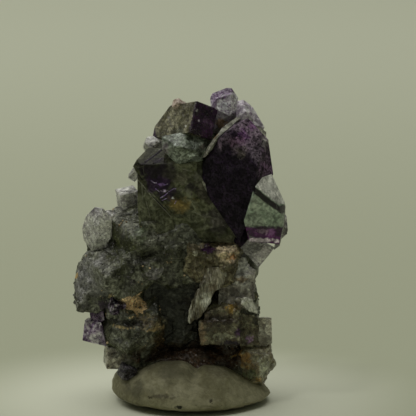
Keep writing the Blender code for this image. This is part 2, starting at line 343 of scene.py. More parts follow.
speck_foot = maths(CLOUDS, "SUBTRACT", 0.72, maths(CLOUDS, "MULTIPLY", given["Speck Share"], 0.4))
speck_top = maths(CLOUDS, "ADD", speck_foot, 0.08)
CLOUDS.links.new(passing(CLOUDS, layers["Speck"], speck_foot, speck_top), result["Speck"])
CLOUDS.links.new(layers["Mottle"], result["Height"])

# shards: straight-sided grains, each of its own tone and with its own slight tilt
SHARDS, given, result = shader_group(
    "Shards", {"Place": (0.0, 0.0, 0.0), "Size": 0.001, "Tilt": 0.2}, ("Tone", "Height"),
)
grains = node(SHARDS, "ShaderNodeTexVoronoi", {
    "Vector": given["Place"], "Scale": maths(SHARDS, "DIVIDE", 1.0, given["Size"]),
}).outputs
aside = vectors(SHARDS, "SUBTRACT", given["Place"], grains["Position"])
slope = vectors(SHARDS, "SUBTRACT", grains["Color"], (0.5, 0.5, 0.5))
slope = vectors(SHARDS, "DOT_PRODUCT", slope, aside)
tilted = maths(SHARDS, "MULTIPLY", slope, maths(SHARDS, "MULTIPLY", given["Tilt"], 2.0))
SHARDS.links.new(tilted, result["Height"])
own_tone = node(SHARDS, "ShaderNodeSeparateXYZ", {0: grains["Color"]}).outputs["X"]
SHARDS.links.new(own_tone, result["Tone"])

# cracks: thin bright sheets inside the crystal, seen as lines where they meet its surface
CRACKS, given, result = shader_group(
    "Cracks", {"Place": (0.0, 0.0, 0.0), "Size": 0.001, "Width": 0.04, "Share": 0.5}, ("Mask",),
)
bend = node(CRACKS, "ShaderNodeTexNoise", {
    "Vector": given["Place"], "Scale": maths(CRACKS, "DIVIDE", 0.7, given["Size"]), "Detail": 2.0,
})
moved = scaled(CRACKS, bend.outputs["Color"], given["Size"])
moved = vectors(CRACKS, "ADD", given["Place"], moved)
cells = node(CRACKS, "ShaderNodeTexVoronoi", {
    "Vector": moved, "Scale": maths(CRACKS, "DIVIDE", 1.0, given["Size"]),
}, feature="DISTANCE_TO_EDGE").outputs["Distance"]
line = passing(CRACKS, cells, given["Width"], 0.0)
fewest = maths(CRACKS, "SUBTRACT", 0.75, maths(CRACKS, "MULTIPLY", given["Share"], 0.5))
kept = passing(CRACKS, bend.outputs["Fac"], fewest, 0.8)
CRACKS.links.new(maths(CRACKS, "MULTIPLY", line, kept), result["Mask"])

# patch: a ragged spot of another colour at a place, round or stretched
PATCH, given, result = shader_group(
    "Patch",
    {
        "Place": (0.0, 0.0, 0.0), "Middle": (0.0, 0.0, 0.0), "Proportions": (1.0, 1.0, 1.0),
        "Reach": 0.001, "Edge": 0.5, "Raggedness": 0.5, "Ragged Size": 0.0005,
    },
    ("Mask",),
)
torn = node(PATCH, "ShaderNodeTexNoise", {
    "Vector": given["Place"], "Scale": maths(PATCH, "DIVIDE", 1.0, given["Ragged Size"]),
    "Detail": 3.0,
}).outputs["Fac"]
swing = maths(PATCH, "MULTIPLY", given["Raggedness"], 4.0)
torn = maths(PATCH, "MULTIPLY", maths(PATCH, "SUBTRACT", torn, 0.5), swing)
apart = vectors(PATCH, "SUBTRACT", given["Place"], given["Middle"])
apart = vectors(PATCH, "MULTIPLY", apart, given["Proportions"])
apart = maths(PATCH, "DIVIDE", vectors(PATCH, "LENGTH", apart), given["Reach"])
apart = maths(PATCH, "ADD", apart, torn)
inner = maths(PATCH, "SUBTRACT", 1.0, given["Edge"])
PATCH.links.new(passing(PATCH, apart, 1.0, inner), result["Mask"])

# zone: a layer between two planes across the crystal, with a wavy border, used for growth
# zones and for one painted reflection
ZONE, given, result = shader_group(
    "Growth zone and painted band",
    {
        "Place": (0.0, 0.0, 0.0), "Middle": (0.0, 0.0, 0.0), "Across": (0.0, 0.0, 1.0),
        "Start": 0.0, "Thickness": 0.001, "Edge": 0.0002, "Waves": 0.0002,
    },
    ("Mask",),
)
wave = node(ZONE, "ShaderNodeTexNoise", {
    "Vector": given["Place"], "Scale": WAVES_IN_A_METRE, "Detail": 3.0,
}).outputs["Fac"]
swing = maths(ZONE, "MULTIPLY", given["Waves"], 3.0)
wave = maths(ZONE, "MULTIPLY", maths(ZONE, "SUBTRACT", wave, 0.5), swing)
apart = vectors(ZONE, "SUBTRACT", given["Place"], given["Middle"])
apart = vectors(ZONE, "DOT_PRODUCT", apart, given["Across"])
apart = maths(ZONE, "ADD", maths(ZONE, "SUBTRACT", apart, given["Start"]), wave)
begun = passing(ZONE, apart, 0.0, given["Edge"])
left = passing(ZONE, maths(ZONE, "SUBTRACT", given["Thickness"], apart), 0.0, given["Edge"])
ZONE.links.new(maths(ZONE, "MINIMUM", begun, left), result["Mask"])


def fluorite(
    name, colour, cloud, mottle, speck, sizes=(2.2, 0.6, 0.3), strength=(0.8, 0.6, 0.6), specks=0.3,
    shards=(1.2, 0.25, 0.06), glitter=(0.3, 0.1, 0.1), relief=0.02, streaks=None, glass=0.3,
    rough=(0.10, 0.3), shine=0.5, absorb=None, cracks=None, zones=(), patches=(),
):
    """A fluorite finish: clouds, mottles, specks, shards, cracks, zones and ragged patches.

    Lengths are in millimetres, and places are measured from the surface that the tack stands on.
    shards and glitter have (size, contrast, tilt), streaks has the turn in degrees and the
    stretch of all grain, cracks has (size, width, share, colour), zones has (middle, across,
    start, thickness, edge, colour), patches has (middle, reach, colour, strength, edge,
    proportions), and absorb has a colour and a density. Most zones are growth zones and one is a
    painted reflection; some specks and patches are painted glints, highlights, shade and shadow.
    """
    material = bpy.data.materials.new(name)
    material.use_nodes = True
    tree = material.node_tree
    shader = tree.nodes["Principled BSDF"]
    place = node(tree, "ShaderNodeTexCoord").outputs["Object"]
    along = place
    if streaks:
        turn, stretch = streaks
        along = node(tree, "ShaderNodeMapping", {
            "Vector": place, "Rotation": [math.radians(angle) for angle in turn], "Scale": stretch,
        }).outputs["Vector"]
    clouds = node(tree, "ShaderNodeGroup", {
        "Place": along, "Cloud Size": sizes[0] * MM, "Mottle Size": sizes[1] * MM,
        "Speck Size": sizes[2] * MM, "Speck Share": specks,
    }, node_tree=CLOUDS).outputs
    base = tinted(tree, maths(tree, "MULTIPLY", clouds["Cloud"], strength[0]), colour, cloud)
    base = tinted(tree, maths(tree, "MULTIPLY", clouds["Mottle"], strength[1]), base, mottle)
    for middle, across, start, thickness, edge, zone_colour in zones:
        mask = node(tree, "ShaderNodeGroup", {
            "Place": place, "Middle": Vector(middle) * MM, "Across": Vector(across).normalized(),
            "Start": start * MM, "Thickness": thickness * MM, "Edge": edge * MM,
            "Waves": edge * MM * 0.8,
        }, node_tree=ZONE).outputs["Mask"]
        base = tinted(tree, mask, base, zone_colour)
    for middle, reach, patch_colour, share, edge, proportions in patches:
        mask = node(tree, "ShaderNodeGroup", {
            "Place": place, "Middle": Vector(middle) * MM, "Proportions": proportions,
            "Reach": reach * MM, "Edge": edge, "Ragged Size": max(0.3, reach * 0.5) * MM,
        }, node_tree=PATCH).outputs["Mask"]
        base = tinted(tree, maths(tree, "MULTIPLY", mask, share), base, patch_colour)
    tone = ranged(tree, clouds["Mottle"], 1 + 0.4 * strength[1], 1 - 0.6 * strength[1])
    base = scaled(tree, base, tone)
    height = maths(tree, "MULTIPLY", clouds["Height"], relief * MM)
    for size, contrast, tilt in (shards, glitter):
        grain = node(tree, "ShaderNodeGroup", {
            "Place": along, "Size": size * MM, "Tilt": tilt,
        }, node_tree=SHARDS).outputs
        base = scaled(tree, base, ranged(tree, grain["Tone"], 1 - contrast, 1 + contrast))
        height = maths(tree, "ADD", height, grain["Height"])
    if cracks:
        size, width, share, line_colour = cracks
        mask = node(tree, "ShaderNodeGroup", {
            "Place": place, "Size": size * MM, "Width": width, "Share": share,
        }, node_tree=CRACKS).outputs["Mask"]
        base = tinted(tree, mask, base, line_colour)
    base = tinted(tree, maths(tree, "MULTIPLY", clouds["Speck"], strength[2]), base, speck)
    tree.links.new(base, shader.inputs["Base Color"])
    tree.links.new(ranged(tree, clouds["Mottle"], *rough), shader.inputs["Roughness"])
    bump = node(tree, "ShaderNodeBump", {"Height": height, "Strength": 1.0, "Distance": 1.0})
    tree.links.new(bump.outputs["Normal"], shader.inputs["Normal"])
    shader.inputs["Transmission Weight"].default_value = glass
    shader.inputs["IOR"].default_value = FLUORITE_IOR
    shader.inputs["Specular IOR Level"].default_value = shine
    if absorb:
        inside = node(tree, "ShaderNodeVolumeAbsorption", {
            "Color": (*absorb[0], 1.0), "Density": absorb[1],
        })
        tree.links.new(inside.outputs[0], tree.nodes["Material Output"].inputs["Volume"])
    return material


def set_in_place(piece, material, stands_for="fluorite_specimen"):
    """Gives a piece its finish, and puts it on the specimen in place of the solid."""
    piece.data.materials.clear()
    piece.data.materials.append(material)
    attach(piece, "root")
    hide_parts(stands_for)
    return piece


deep_purple = fluorite(
    "deep purple fluorite", (0.005, 0.003, 0.008), (0.024, 0.013, 0.032), (0.048, 0.038, 0.054),
    (0.003, 0.002, 0.004), sizes=(1.8, 0.42, 0.24), strength=(0.8, 0.55, 0.8), specks=0.5,
    shards=(0.8, 0.5, 0.05), glitter=(0.3, 0.4, 0.08), relief=0.01, glass=0.05, rough=(0.10, 0.25),
    shine=0.07, absorb=((0.30, 0.18, 0.42), 900), cracks=(0.7, 0.03, 0.35, (0.10, 0.07, 0.12)),
    patches=(
        ((9.0, -7.4, 33.4), 3.6, (0.25, 0.185, 0.25), 0.85, 0.7, (0.75, 0.4, 1.25)),
        ((10.8, -6.6, 30.6), 1.9, (0.18, 0.11, 0.19), 0.85, 0.6, (1.1, 0.3, 0.55)),
        ((10.3, -6.6, 32.4), 0.9, (0.42, 0.42, 0.36), 0.7, 0.7, DEEP),
        ((9.4, -6.9, 33.6), 0.7, (0.46, 0.40, 0.44), 0.7, 0.7, DEEP),
        ((7.7, -7.2, 33.3), 0.9, (0.09, 0.035, 0.11), 0.85, 0.6, DEEP),
        ((8.9, -6.0, 34.4), 0.9, (0.32, 0.17, 0.35), 0.9, 0.6, DEEP),
        ((9.6, -7.6, 31.6), 2.0, (0.14, 0.115, 0.14), 0.7, 0.9, (0.9, 0.4, 0.9)),
        ((11.0, -6.6, 33.0), 0.9, (0.11, 0.05, 0.13), 0.8, 0.6, DEEP),
        ((6.9, -6.9, 32.6), 1.0, (0.14, 0.08, 0.13), 0.7, 0.6, (0.8, 0.4, 1.2)),
        ((7.4, -7.2, 31.4), 0.9, (0.10, 0.09, 0.075), 0.7, 0.6, DEEP),
    ),
)
set_in_place(as_piece("dark_octahedron", [block(*DARK)]), deep_purple)
set_in_place(as_piece("pale_rim", [
    crystal(
        (8.8, -0.7, 28.2), RIM_TURN,
        cube={"+x": 1.25 * RIM_REACH, "-x": 0.14 * RIM_REACH, "-y": 0.82 * RIM_REACH},
        octa={"all": 0.86 * RIM_REACH, "+--": 0.66 * RIM_REACH, "--+": 0.7 * RIM_REACH},
        steps=14, seed=2, rise=0.12,
    ),
    block(*BAND), block(*SEAM_RIGHT),
]), fluorite(
    "pale older rim", (0.30, 0.30, 0.23), (0.52, 0.52, 0.44), (0.14, 0.12, 0.085),
    (0.07, 0.05, 0.03), sizes=(1.4, 0.4, 0.22), shards=(0.6, 0.4, 0.1), glitter=(0.25, 0.3, 0.25),
    glass=0.2, rough=(0.25, 0.5), relief=0.04,
    patches=(
        ((4.3, -4.4, 32.9), 0.6, (0.32, 0.16, 0.06), 0.9, 0.5, DEEP),
        ((5.7, -3.4, 34.9), 0.7, (0.36, 0.22, 0.10), 0.8, 0.5, DEEP),
    ),
))


# The green octahedra: two crystals grown parallel, of olive to grey-green fluorite, smooth on
# the outside and cloudy inside, with a dark purple corner at the upper left, on which the small
# lights thrown from its cracks are painted as bright violet and white spots, and rust that has
# crept in along a seam.
BODY_REACH = 5.4
BODY_TURN = (-123, 46, 66)
BODY_RIGHT = (
    (2.5, -5.1, 27.8), (3.2, -4.8, 26.2), (7.4, -3.6, 19.3), (3.7, -3.3, 19.4), (0.4, -3.0, 19.5),
    (0.7, -3.8, 22.7), (6.8, -2.5, 19.1), (3.1, -1.0, 25.3), (1.3, -1.5, 19.0),
)
BODY_LEFT = (
    (-4.9, -4.0, 27.7), (-4.9, -4.2, 24.1), (-4.6, -3.6, 19.9), (-0.3, -3.4, 19.4),
    (-0.8, -3.9, 22.9), (-3.4, -4.3, 25.8), (-4.8, -1.0, 27.0), (-4.6, -0.5, 19.6),
    (-1.7, 0.0, 19.0),
)

body_octahedra = set_in_place(as_piece("body_octahedra", [
    crystal(
        (1.7, 0.8, 26.6), BODY_TURN,
        cube={"+x": 1.6 * BODY_REACH, "-y": 0.45 * BODY_REACH, "+z": 0.93 * BODY_REACH},
        octa=BODY_REACH, steps=8, seed=3, rise=0.05,
    ),
    crystal((4.4, 1.6, 22.2), BODY_TURN, cube={"-y": 3.9}, octa=3.7, steps=4, seed=5, rise=0.05),
    block(*BODY_RIGHT),
    block(*BODY_LEFT),
]), fluorite(
    "olive green fluorite", (0.070, 0.074, 0.036), (0.19, 0.20, 0.135), (0.050, 0.052, 0.026),
    (0.03, 0.026, 0.018), sizes=(2.4, 0.7, 0.26), strength=(0.9, 0.55, 0.5), specks=0.25,
    shards=(1.5, 0.35, 0.03), glitter=(0.35, 0.3, 0.06), relief=0.01, glass=0.12, rough=(0.06, 0.2),
    shine=0.12, absorb=((0.45, 0.50, 0.36), 260), cracks=(1.6, 0.02, 0.5, (0.22, 0.23, 0.18)),
    patches=(
        ((-3.4, -3.2, 29.9), 2.6, (0.050, 0.050, 0.030), 0.95, 0.5, (0.7, 0.4, 1.2)),
        ((-4.2, -3.4, 29.4), 0.8, (0.008, 0.008, 0.006), 0.95, 0.5, (0.5, 0.4, 2.2)),
        ((-2.5, -3.4, 29.8), 0.7, (0.012, 0.008, 0.012), 0.95, 0.5, (0.5, 0.4, 1.8)),
        ((-2.4, -4.6, 28.3), 2.1, (0.019, 0.012, 0.024), 0.95, 0.6, (0.7, 0.4, 1.1)),
        ((-1.0, -4.6, 28.3), 1.2, (0.060, 0.056, 0.045), 0.7, 0.8, (0.8, 0.4, 1.1)),
        ((-2.6, -4.6, 26.9), 1.6, (0.040, 0.018, 0.062), 0.9, 0.6, (0.8, 0.4, 1.0)),
        ((-1.2, -4.4, 25.6), 1.4, (0.036, 0.020, 0.052), 0.9, 0.7, (0.9, 0.4, 1.1)),
        ((0.6, -4.6, 27.9), 1.2, (0.15, 0.14, 0.11), 0.7, 0.7, DEEP),
        ((2.2, -4.9, 28.2), 0.9, (0.17, 0.165, 0.14), 0.7, 0.7, DEEP),
        ((0.2, -4.0, 24.4), 1.5, (0.40, 0.29, 0.10), 0.85, 0.9, (0.7, 0.4, 1.2)),
        ((4.4, -4.3, 22.6), 2.0, (0.095, 0.080, 0.090), 0.7, 0.7, DEEP),
        ((3.3, -4.8, 26.2), 2.0, (0.075, 0.060, 0.058), 0.6, 0.8, DEEP),
        ((-4.4, -4.2, 24.0), 1.6, (0.20, 0.21, 0.14), 0.7, 0.7, (1.4, 0.4, 0.5)),
        ((1.4, -4.4, 26.6), 1.0, (0.030, 0.020, 0.034), 0.8, 0.6, DEEP),
        # painted glints: the next five spots, bright violet and white, for light thrown back from
        # the cracks under the dark corner
        ((-3.2, -4.8, 27.3), 0.26, (0.95, 0.80, 1.0), 1.0, 0.7, DEEP),
        ((-2.1, -4.7, 27.0), 0.34, (0.42, 0.24, 0.70), 1.0, 0.7, (0.5, 0.4, 1.3)),
        ((-1.7, -4.6, 26.2), 0.30, (0.80, 0.66, 1.0), 1.0, 0.7, (0.5, 0.4, 1.5)),
        ((-2.7, -4.6, 26.4), 0.22, (0.35, 0.18, 0.60), 1.0, 0.7, (0.5, 0.4, 1.3)),
        ((-0.7, -4.4, 25.3), 0.22, (0.80, 0.82, 0.90), 1.0, 0.7, DEEP),
        ((1.2, -4.6, 26.0), 0.8, (0.15, 0.155, 0.11), 0.7, 0.8, (1.2, 0.4, 0.6)),
        ((-4.0, -3.4, 29.2), 0.8, (0.03, 0.028, 0.02), 0.85, 0.5, (0.6, 0.4, 2.0)),
    ),
))


# Veins in the green octahedra, where cracks reach their faces: violet and white ones under the
# dark corner, which are painted glints for the light that the cracks throw back, black ones on
# the shelf above it, pale ones in the olive. Each is a row of thin prisms, sunk in the face that
# it runs over.
VEIN_RISE = 0.03
VEIN_ROOT = 0.1
LONGEST_STEP = 3
BEFORE_ALL = -20


def vein(width, *path):
    """One vein over the front of the octahedra, through places across and above the surface."""
    foot = Vector((0, 0, FOOT_HEIGHT))
    spots = []
    for across, above in path:
        start = Vector((across, BEFORE_ALL, above)) * MM
        met, spot, out, _ = body_octahedra.ray_cast(start, Vector((0, 1, 0)))
        if met:
            spots.append((spot / MM - foot, out))
    forms = []
    for (one, out), (other, _) in zip(spots, spots[1:]):
        if (other - one).length > LONGEST_STEP:
            continue
        side = (other - one).normalized().cross(out).normalized() * width / 2
        forms.append(block(
            one - side, one + side, one + out * VEIN_RISE, one - out * VEIN_ROOT,
            other - side, other + side, other + out * VEIN_RISE, other - out * VEIN_ROOT,
        ))
    return forms


def veins(name, finish, *lines):
    """One piece of several veins, each given by its width and its places."""
    forms = [form for line in lines for form in vein(*line)]
    return set_in_place(as_piece(name, forms, edge=0), finish)


# painted glints: bright violet and white streaks for the light thrown back from cracks under the
# dark corner
veins(
    "painted_glint_veins", fluorite(
        "painted crack glints", (0.36, 0.24, 0.60), (0.95, 0.88, 1.0), (0.26, 0.14, 0.48), (0.2, 0.1, 0.4),
        sizes=(0.5, 0.3, 0.2), glass=0.0, rough=(0.1, 0.3), relief=0.01,
    ),
    (0.12, (-3.3, 27.5), (-2.9, 27.2), (-2.6, 27.2)),
    (0.10, (-2.2, 25.3), (-1.6, 25.7), (-1.3, 26.0)),
    (0.07, (-1.2, 26.1), (-0.6, 26.5), (-0.3, 26.5)),
    (0.06, (-2.0, 25.0), (-1.4, 25.3)),
    (0.06, (-1.8, 26.9), (-1.3, 27.1)),
    (0.07, (-0.5, 24.6), (-0.3, 25.0)),
    (0.05, (-2.8, 26.5), (-2.3, 26.1)),
)
veins(
    "dark_veins", deep_purple,
    (0.30, (-5.0, 29.0), (-4.0, 29.7), (-2.8, 30.4), (-1.9, 31.0)),
    (0.22, (-3.9, 29.0), (-2.9, 29.6), (-2.0, 30.1)),
    (0.20, (-5.1, 28.2), (-5.1, 26.6), (-5.0, 25.0)),
    (0.16, (-4.2, 27.0), (-3.0, 25.4), (-1.6, 23.9)),
)
veins(
    "pale_veins", fluorite(
        "pale vein", (0.14, 0.14, 0.10), (0.30, 0.30, 0.24), (0.11, 0.11, 0.075),
        (0.10, 0.10, 0.07), sizes=(1.2, 0.4, 0.2), glass=0.1, rough=(0.2, 0.4), relief=0.01,
    ),
    (0.13, (-4.85, 27.5), (-4.2, 26.8), (-3.5, 25.9), (-2.6, 24.9), (-1.7, 23.9), (-0.9, 23.0)),
    (0.10, (-4.4, 27.2), (-4.3, 25.4), (-4.4, 23.6)),
    (0.08, (-4.0, 26.3), (-3.8, 24.6), (-3.4, 23.0), (-3.5, 21.8)),
    (0.08, (-4.9, 29.4), (-3.6, 30.2), (-2.6, 30.9)),
    (0.08, (1.9, 23.6), (3.0, 23.0), (4.4, 22.9)),
    (0.08, (0.4, 29.0), (1.6, 28.7), (2.4, 28.9)),
)


# The cap at the upper left: a thick plate of a cube, olive and rust-dusted on its left face and
# deep purple under its right one, grown over a small clear green octahedron full of cracks.
CAP_TURN = (-58, -23, 12)
CAP_GREEN = (
    (-2.0, -3.6, 32.2), (1.1, -4.2, 32.9), (3.4, -4.0, 31.8), (3.0, -4.6, 29.4), (0.0, -5.0, 28.8),
    (-2.0, -4.4, 30.7), (-0.1, -6.2, 31.4), (1.9, -6.0, 30.9), (-1.1, 0.0, 30.5), (2.5, 0.0, 29.9),
    (0.7, 0.0, 28.7),
)

set_in_place(as_piece("cap_cube", [crystal(
    (0.5, -1.2, 33.4), CAP_TURN,
    cube={"+x": 3.95, "-x": 3.95, "+y": 1.9, "-y": 1.3, "+z": 1.95, "-z": 1.95},
    octa={"--+": 2.75, "-++": 3.1},
)]), fluorite(
    "olive cap fluorite", (0.115, 0.11, 0.062), (0.38, 0.36, 0.26), (0.10, 0.088, 0.055),
    (0.05, 0.035, 0.03), sizes=(1.5, 0.42, 0.22), strength=(0.9, 0.55, 0.7), specks=0.4,
    shards=(0.9, 0.45, 0.06), glitter=(0.28, 0.4, 0.2), relief=0.03, glass=0.2, rough=(0.10, 0.35),
    shine=0.35, cracks=(0.9, 0.03, 0.5, (0.45, 0.42, 0.34)),
    zones=(
        ((3.12, -4.07, 34.69), (0.59, -0.78, 0.21), -0.40, 2.0, 0.25, (0.036, 0.012, 0.042)),
        ((-2.6, -2.6, 33.6), (-0.9, -0.1, -0.1), -0.1, 2.0, 0.25, (0.05, 0.025, 0.06)),
    ),
    patches=(
        ((3.2, -4.4, 34.6), 0.7, (0.11, 0.06, 0.12), 0.8, 0.7, (1.2, 0.4, 0.8)),
        ((4.2, -4.2, 34.0), 0.6, (0.10, 0.055, 0.11), 0.8, 0.7, DEEP),
        ((3.4, -4.4, 35.6), 0.9, (0.010, 0.004, 0.012), 0.9, 0.6, DEEP),
        ((2.0, -4.6, 33.9), 0.9, (0.012, 0.005, 0.014), 0.8, 0.6, (0.9, 0.4, 0.7)),
        ((-1.0, -3.0, 35.7), 0.9, (0.40, 0.26, 0.14), 0.8, 0.6, DEEP),
        ((-1.7, -3.0, 35.0), 0.8, (0.22, 0.15, 0.07), 0.6, 0.6, DEEP),
        ((-2.2, -3.2, 33.2), 0.8, (0.16, 0.08, 0.11), 0.7, 0.6, DEEP),
        ((0.2, -3.9, 33.2), 0.8, (0.16, 0.17, 0.13), 0.7, 0.6, DEEP),
        # painted glints: the next five spots, small white points of light on the cap
        ((-1.3, -3.4, 34.2), 0.26, (0.95, 0.95, 0.90), 0.9, 0.6, (0.6, 0.4, 1.4)),
        ((-0.6, -3.6, 33.6), 0.22, (0.80, 0.80, 0.70), 0.9, 0.6, (0.6, 0.4, 1.4)),
        ((0.9, -4.2, 34.0), 0.15, (0.95, 0.95, 0.90), 0.9, 0.6, DEEP),
        ((2.1, -4.3, 35.9), 0.22, (0.80, 0.78, 0.78), 1.0, 0.6, DEEP),
        ((2.4, -4.4, 34.7), 0.16, (0.60, 0.55, 0.62), 1.0, 0.6, DEEP),
    ),
))
set_in_place(as_piece("cap_octahedron", [block(*CAP_GREEN)]), fluorite(
    "clear green fluorite", (0.17, 0.20, 0.145), (0.46, 0.52, 0.45), (0.11, 0.125, 0.10),
    (0.05, 0.045, 0.05), sizes=(1.3, 0.45, 0.22), shards=(1.0, 0.45, 0.06), glitter=(0.3, 0.3, 0.1),
    glass=0.3, rough=(0.04, 0.2), relief=0.02, shine=0.4, absorb=((0.5, 0.62, 0.5), 120),
    cracks=(0.9, 0.04, 0.6, (0.55, 0.6, 0.55)),
    patches=(
        ((-1.6, -4.6, 31.2), 0.8, (0.30, 0.24, 0.27), 0.7, 0.6, (1.2, 0.4, 0.7)),
        # painted highlights: the next two spots, pale green-white light on the lower face
        ((1.7, -6.0, 30.7), 0.42, (0.85, 0.95, 0.90), 0.95, 0.6, (0.55, 0.4, 1.3)),
        ((-0.4, -5.8, 32.0), 0.20, (0.85, 0.95, 0.90), 0.9, 0.6, DEEP),
        ((0.7, -5.4, 29.3), 0.8, (0.75, 0.75, 0.62), 0.85, 0.6, (0.5, 0.4, 3.0)),
        ((2.9, -4.8, 31.6), 0.5, (0.20, 0.16, 0.16), 0.7, 0.6, DEEP),
    ),
))


# The crown: small lilac cubes and rounded crystals at the very top, pale and milky against the
# light, each with a turn of its own, and one crumb of pinkish clay on the left.
TOP_CUBE = (
    (3.7, -1.6, 36.5), (4.0, -0.6, 36.9), (5.7, -0.2, 37.5), (6.3, -0.4, 37.5), (7.1, -1.2, 36.4),
    (6.9, -2.2, 35.3), (6.0, -3.2, 34.5), (3.8, -2.8, 35.6), (4.5, -2.8, 36.6), (6.3, -2.6, 37.1),
    (5.2, 1.4, 36.6), (5.7, 1.0, 35.2),
)
LILAC_ROUND = (
    (6.8, 0.2, 35.8), (7.7, 0.2, 36.0), (8.5, 0.4, 35.4), (9.2, 0.4, 34.5), (9.7, 0.2, 33.3),
    (10.2, 0.0, 32.1), (8.2, -1.6, 32.1), (6.8, -1.8, 34.1), (8.0, -1.9, 34.9), (7.3, 2.4, 34.9),
    (9.0, 2.4, 33.7), (9.5, 2.2, 32.3), (7.3, 2.2, 32.3),
)

lilac = fluorite(
    "lilac fluorite", (0.66, 0.60, 0.68), (0.94, 0.93, 0.94), (0.50, 0.36, 0.56),
    (0.24, 0.10, 0.30), sizes=(1.3, 0.5, 0.22), strength=(0.9, 0.5, 0.7), shards=(0.9, 0.3, 0.1),
    glitter=(0.3, 0.3, 0.15), glass=0.4, rough=(0.10, 0.3), relief=0.02,
    absorb=((0.8, 0.7, 0.85), 25), cracks=(0.8, 0.03, 0.5, (1.0, 1.0, 1.0)),
    patches=(
        # painted highlight: a white spot of light at the right of the rounded crystal
        ((9.2, -0.6, 35.2), 0.6, (0.98, 0.96, 0.96), 0.9, 0.6, (0.6, 0.4, 1.4)),
        ((7.4, -1.8, 34.0), 1.1, (0.52, 0.40, 0.34), 0.7, 0.6, (0.6, 0.4, 1.5)),
        ((5.0, -2.0, 34.0), 0.9, (0.48, 0.26, 0.10), 0.75, 0.5, DEEP),
        ((8.6, -1.2, 35.0), 0.3, (0.20, 0.08, 0.24), 0.7, 0.6, DEEP),
    ),
)
set_in_place(as_piece("lilac_crown", [
    block(*LILAC_ROUND),
    crystal((7.7, 0.6, 32.6), (15, 30, -20), cube=2.0, octa=2.3, steps=6, seed=9),
    crystal((5.4, 0.2, 33.6), (28, 12, 10), cube=1.5, octa=1.9, steps=4, seed=10),
]), lilac)
set_in_place(as_piece("top_cube", [block(*TOP_CUBE)]), fluorite(
    "purple-topped lilac", (0.86, 0.84, 0.90), (0.98, 0.99, 1.0), (0.60, 0.48, 0.68),
    (0.20, 0.09, 0.26), sizes=(1.3, 0.4, 0.2), strength=(0.9, 0.5, 0.8), specks=0.4,
    shards=(0.8, 0.3, 0.06), glitter=(0.25, 0.35, 0.15), glass=0.35, rough=(0.06, 0.25),
    relief=0.01, absorb=((0.8, 0.7, 0.85), 25),
    zones=(((5.2, -2.0, 37.4), (-0.35, 0.2, 1.0), -0.75, 3.0, 0.8, (0.10, 0.04, 0.13)),),
    patches=(
        # painted glint: a white point of light on the front face
        ((4.9, -2.6, 36.7), 0.26, (1.0, 1.0, 1.0), 1.0, 0.6, DEEP),
        ((5.3, -2.8, 36.3), 0.8, (0.90, 0.90, 1.0), 0.9, 0.7, DEEP),
        ((4.3, -2.8, 36.6), 0.6, (0.34, 0.22, 0.42), 0.8, 0.7, (1.4, 0.4, 0.6)),
    ),
))
set_in_place(as_piece("clay_knob", [
    crystal((-0.1, -0.9, 35.6), (20, 15, 30), cube=0.55, octa=0.7, steps=3, seed=3, rise=0.2),
    crystal((0.5, -0.9, 35.5), (50, 25, 10), cube=0.35, octa=0.45),
]), fluorite(
    "pinkish clay", (0.50, 0.40, 0.33), (0.66, 0.57, 0.52), (0.26, 0.16, 0.12), (0.15, 0.09, 0.05),
    sizes=(0.8, 0.3, 0.2), glass=0.0, rough=(0.6, 0.9), relief=0.05,
))


# The zoned crystal on the right: pale on top, where its reflection of the light is painted, then
# a thin purple-black growth zone, a clear green middle and a purple foot with painted pink-white
# glints, and a clear cube corner grown through below.
ZONED = (
    (9.2, -8.4, 26.9), (11.9, -7.6, 24.3), (12.4, -6.8, 21.9), (11.9, -6.6, 19.7),
    (8.3, -7.0, 20.1), (7.7, -7.6, 22.7), (9.2, -8.0, 27.8), (11.0, -6.8, 28.2), (12.6, -6.2, 24.6),
    (12.6, -6.2, 23.9), (9.9, -2.8, 20.5), (12.2, -3.2, 22.7),
)
ZONED_EDGE = (
    (12.1, -5.6, 24.1), (12.7, -5.0, 24.1), (12.6, -4.6, 21.5), (12.0, -5.0, 19.2),
    (11.3, -5.0, 18.7), (11.9, -6.2, 21.6), (12.2, -2.8, 22.5), (11.6, -2.8, 18.8),
)
CORNER_CUBE = (
    (7.3, -6.2, 19.2), (9.5, -5.0, 16.6), (10.7, -5.2, 18.1), (11.4, -5.4, 19.1), (8.2, -6.4, 20.2),
    (8.0, -3.0, 18.8), (9.6, -2.6, 16.8), (11.1, -3.0, 18.3), (9.9, -2.8, 19.5),
)
ZONED_TOP = (0.66, -0.30, 0.70)

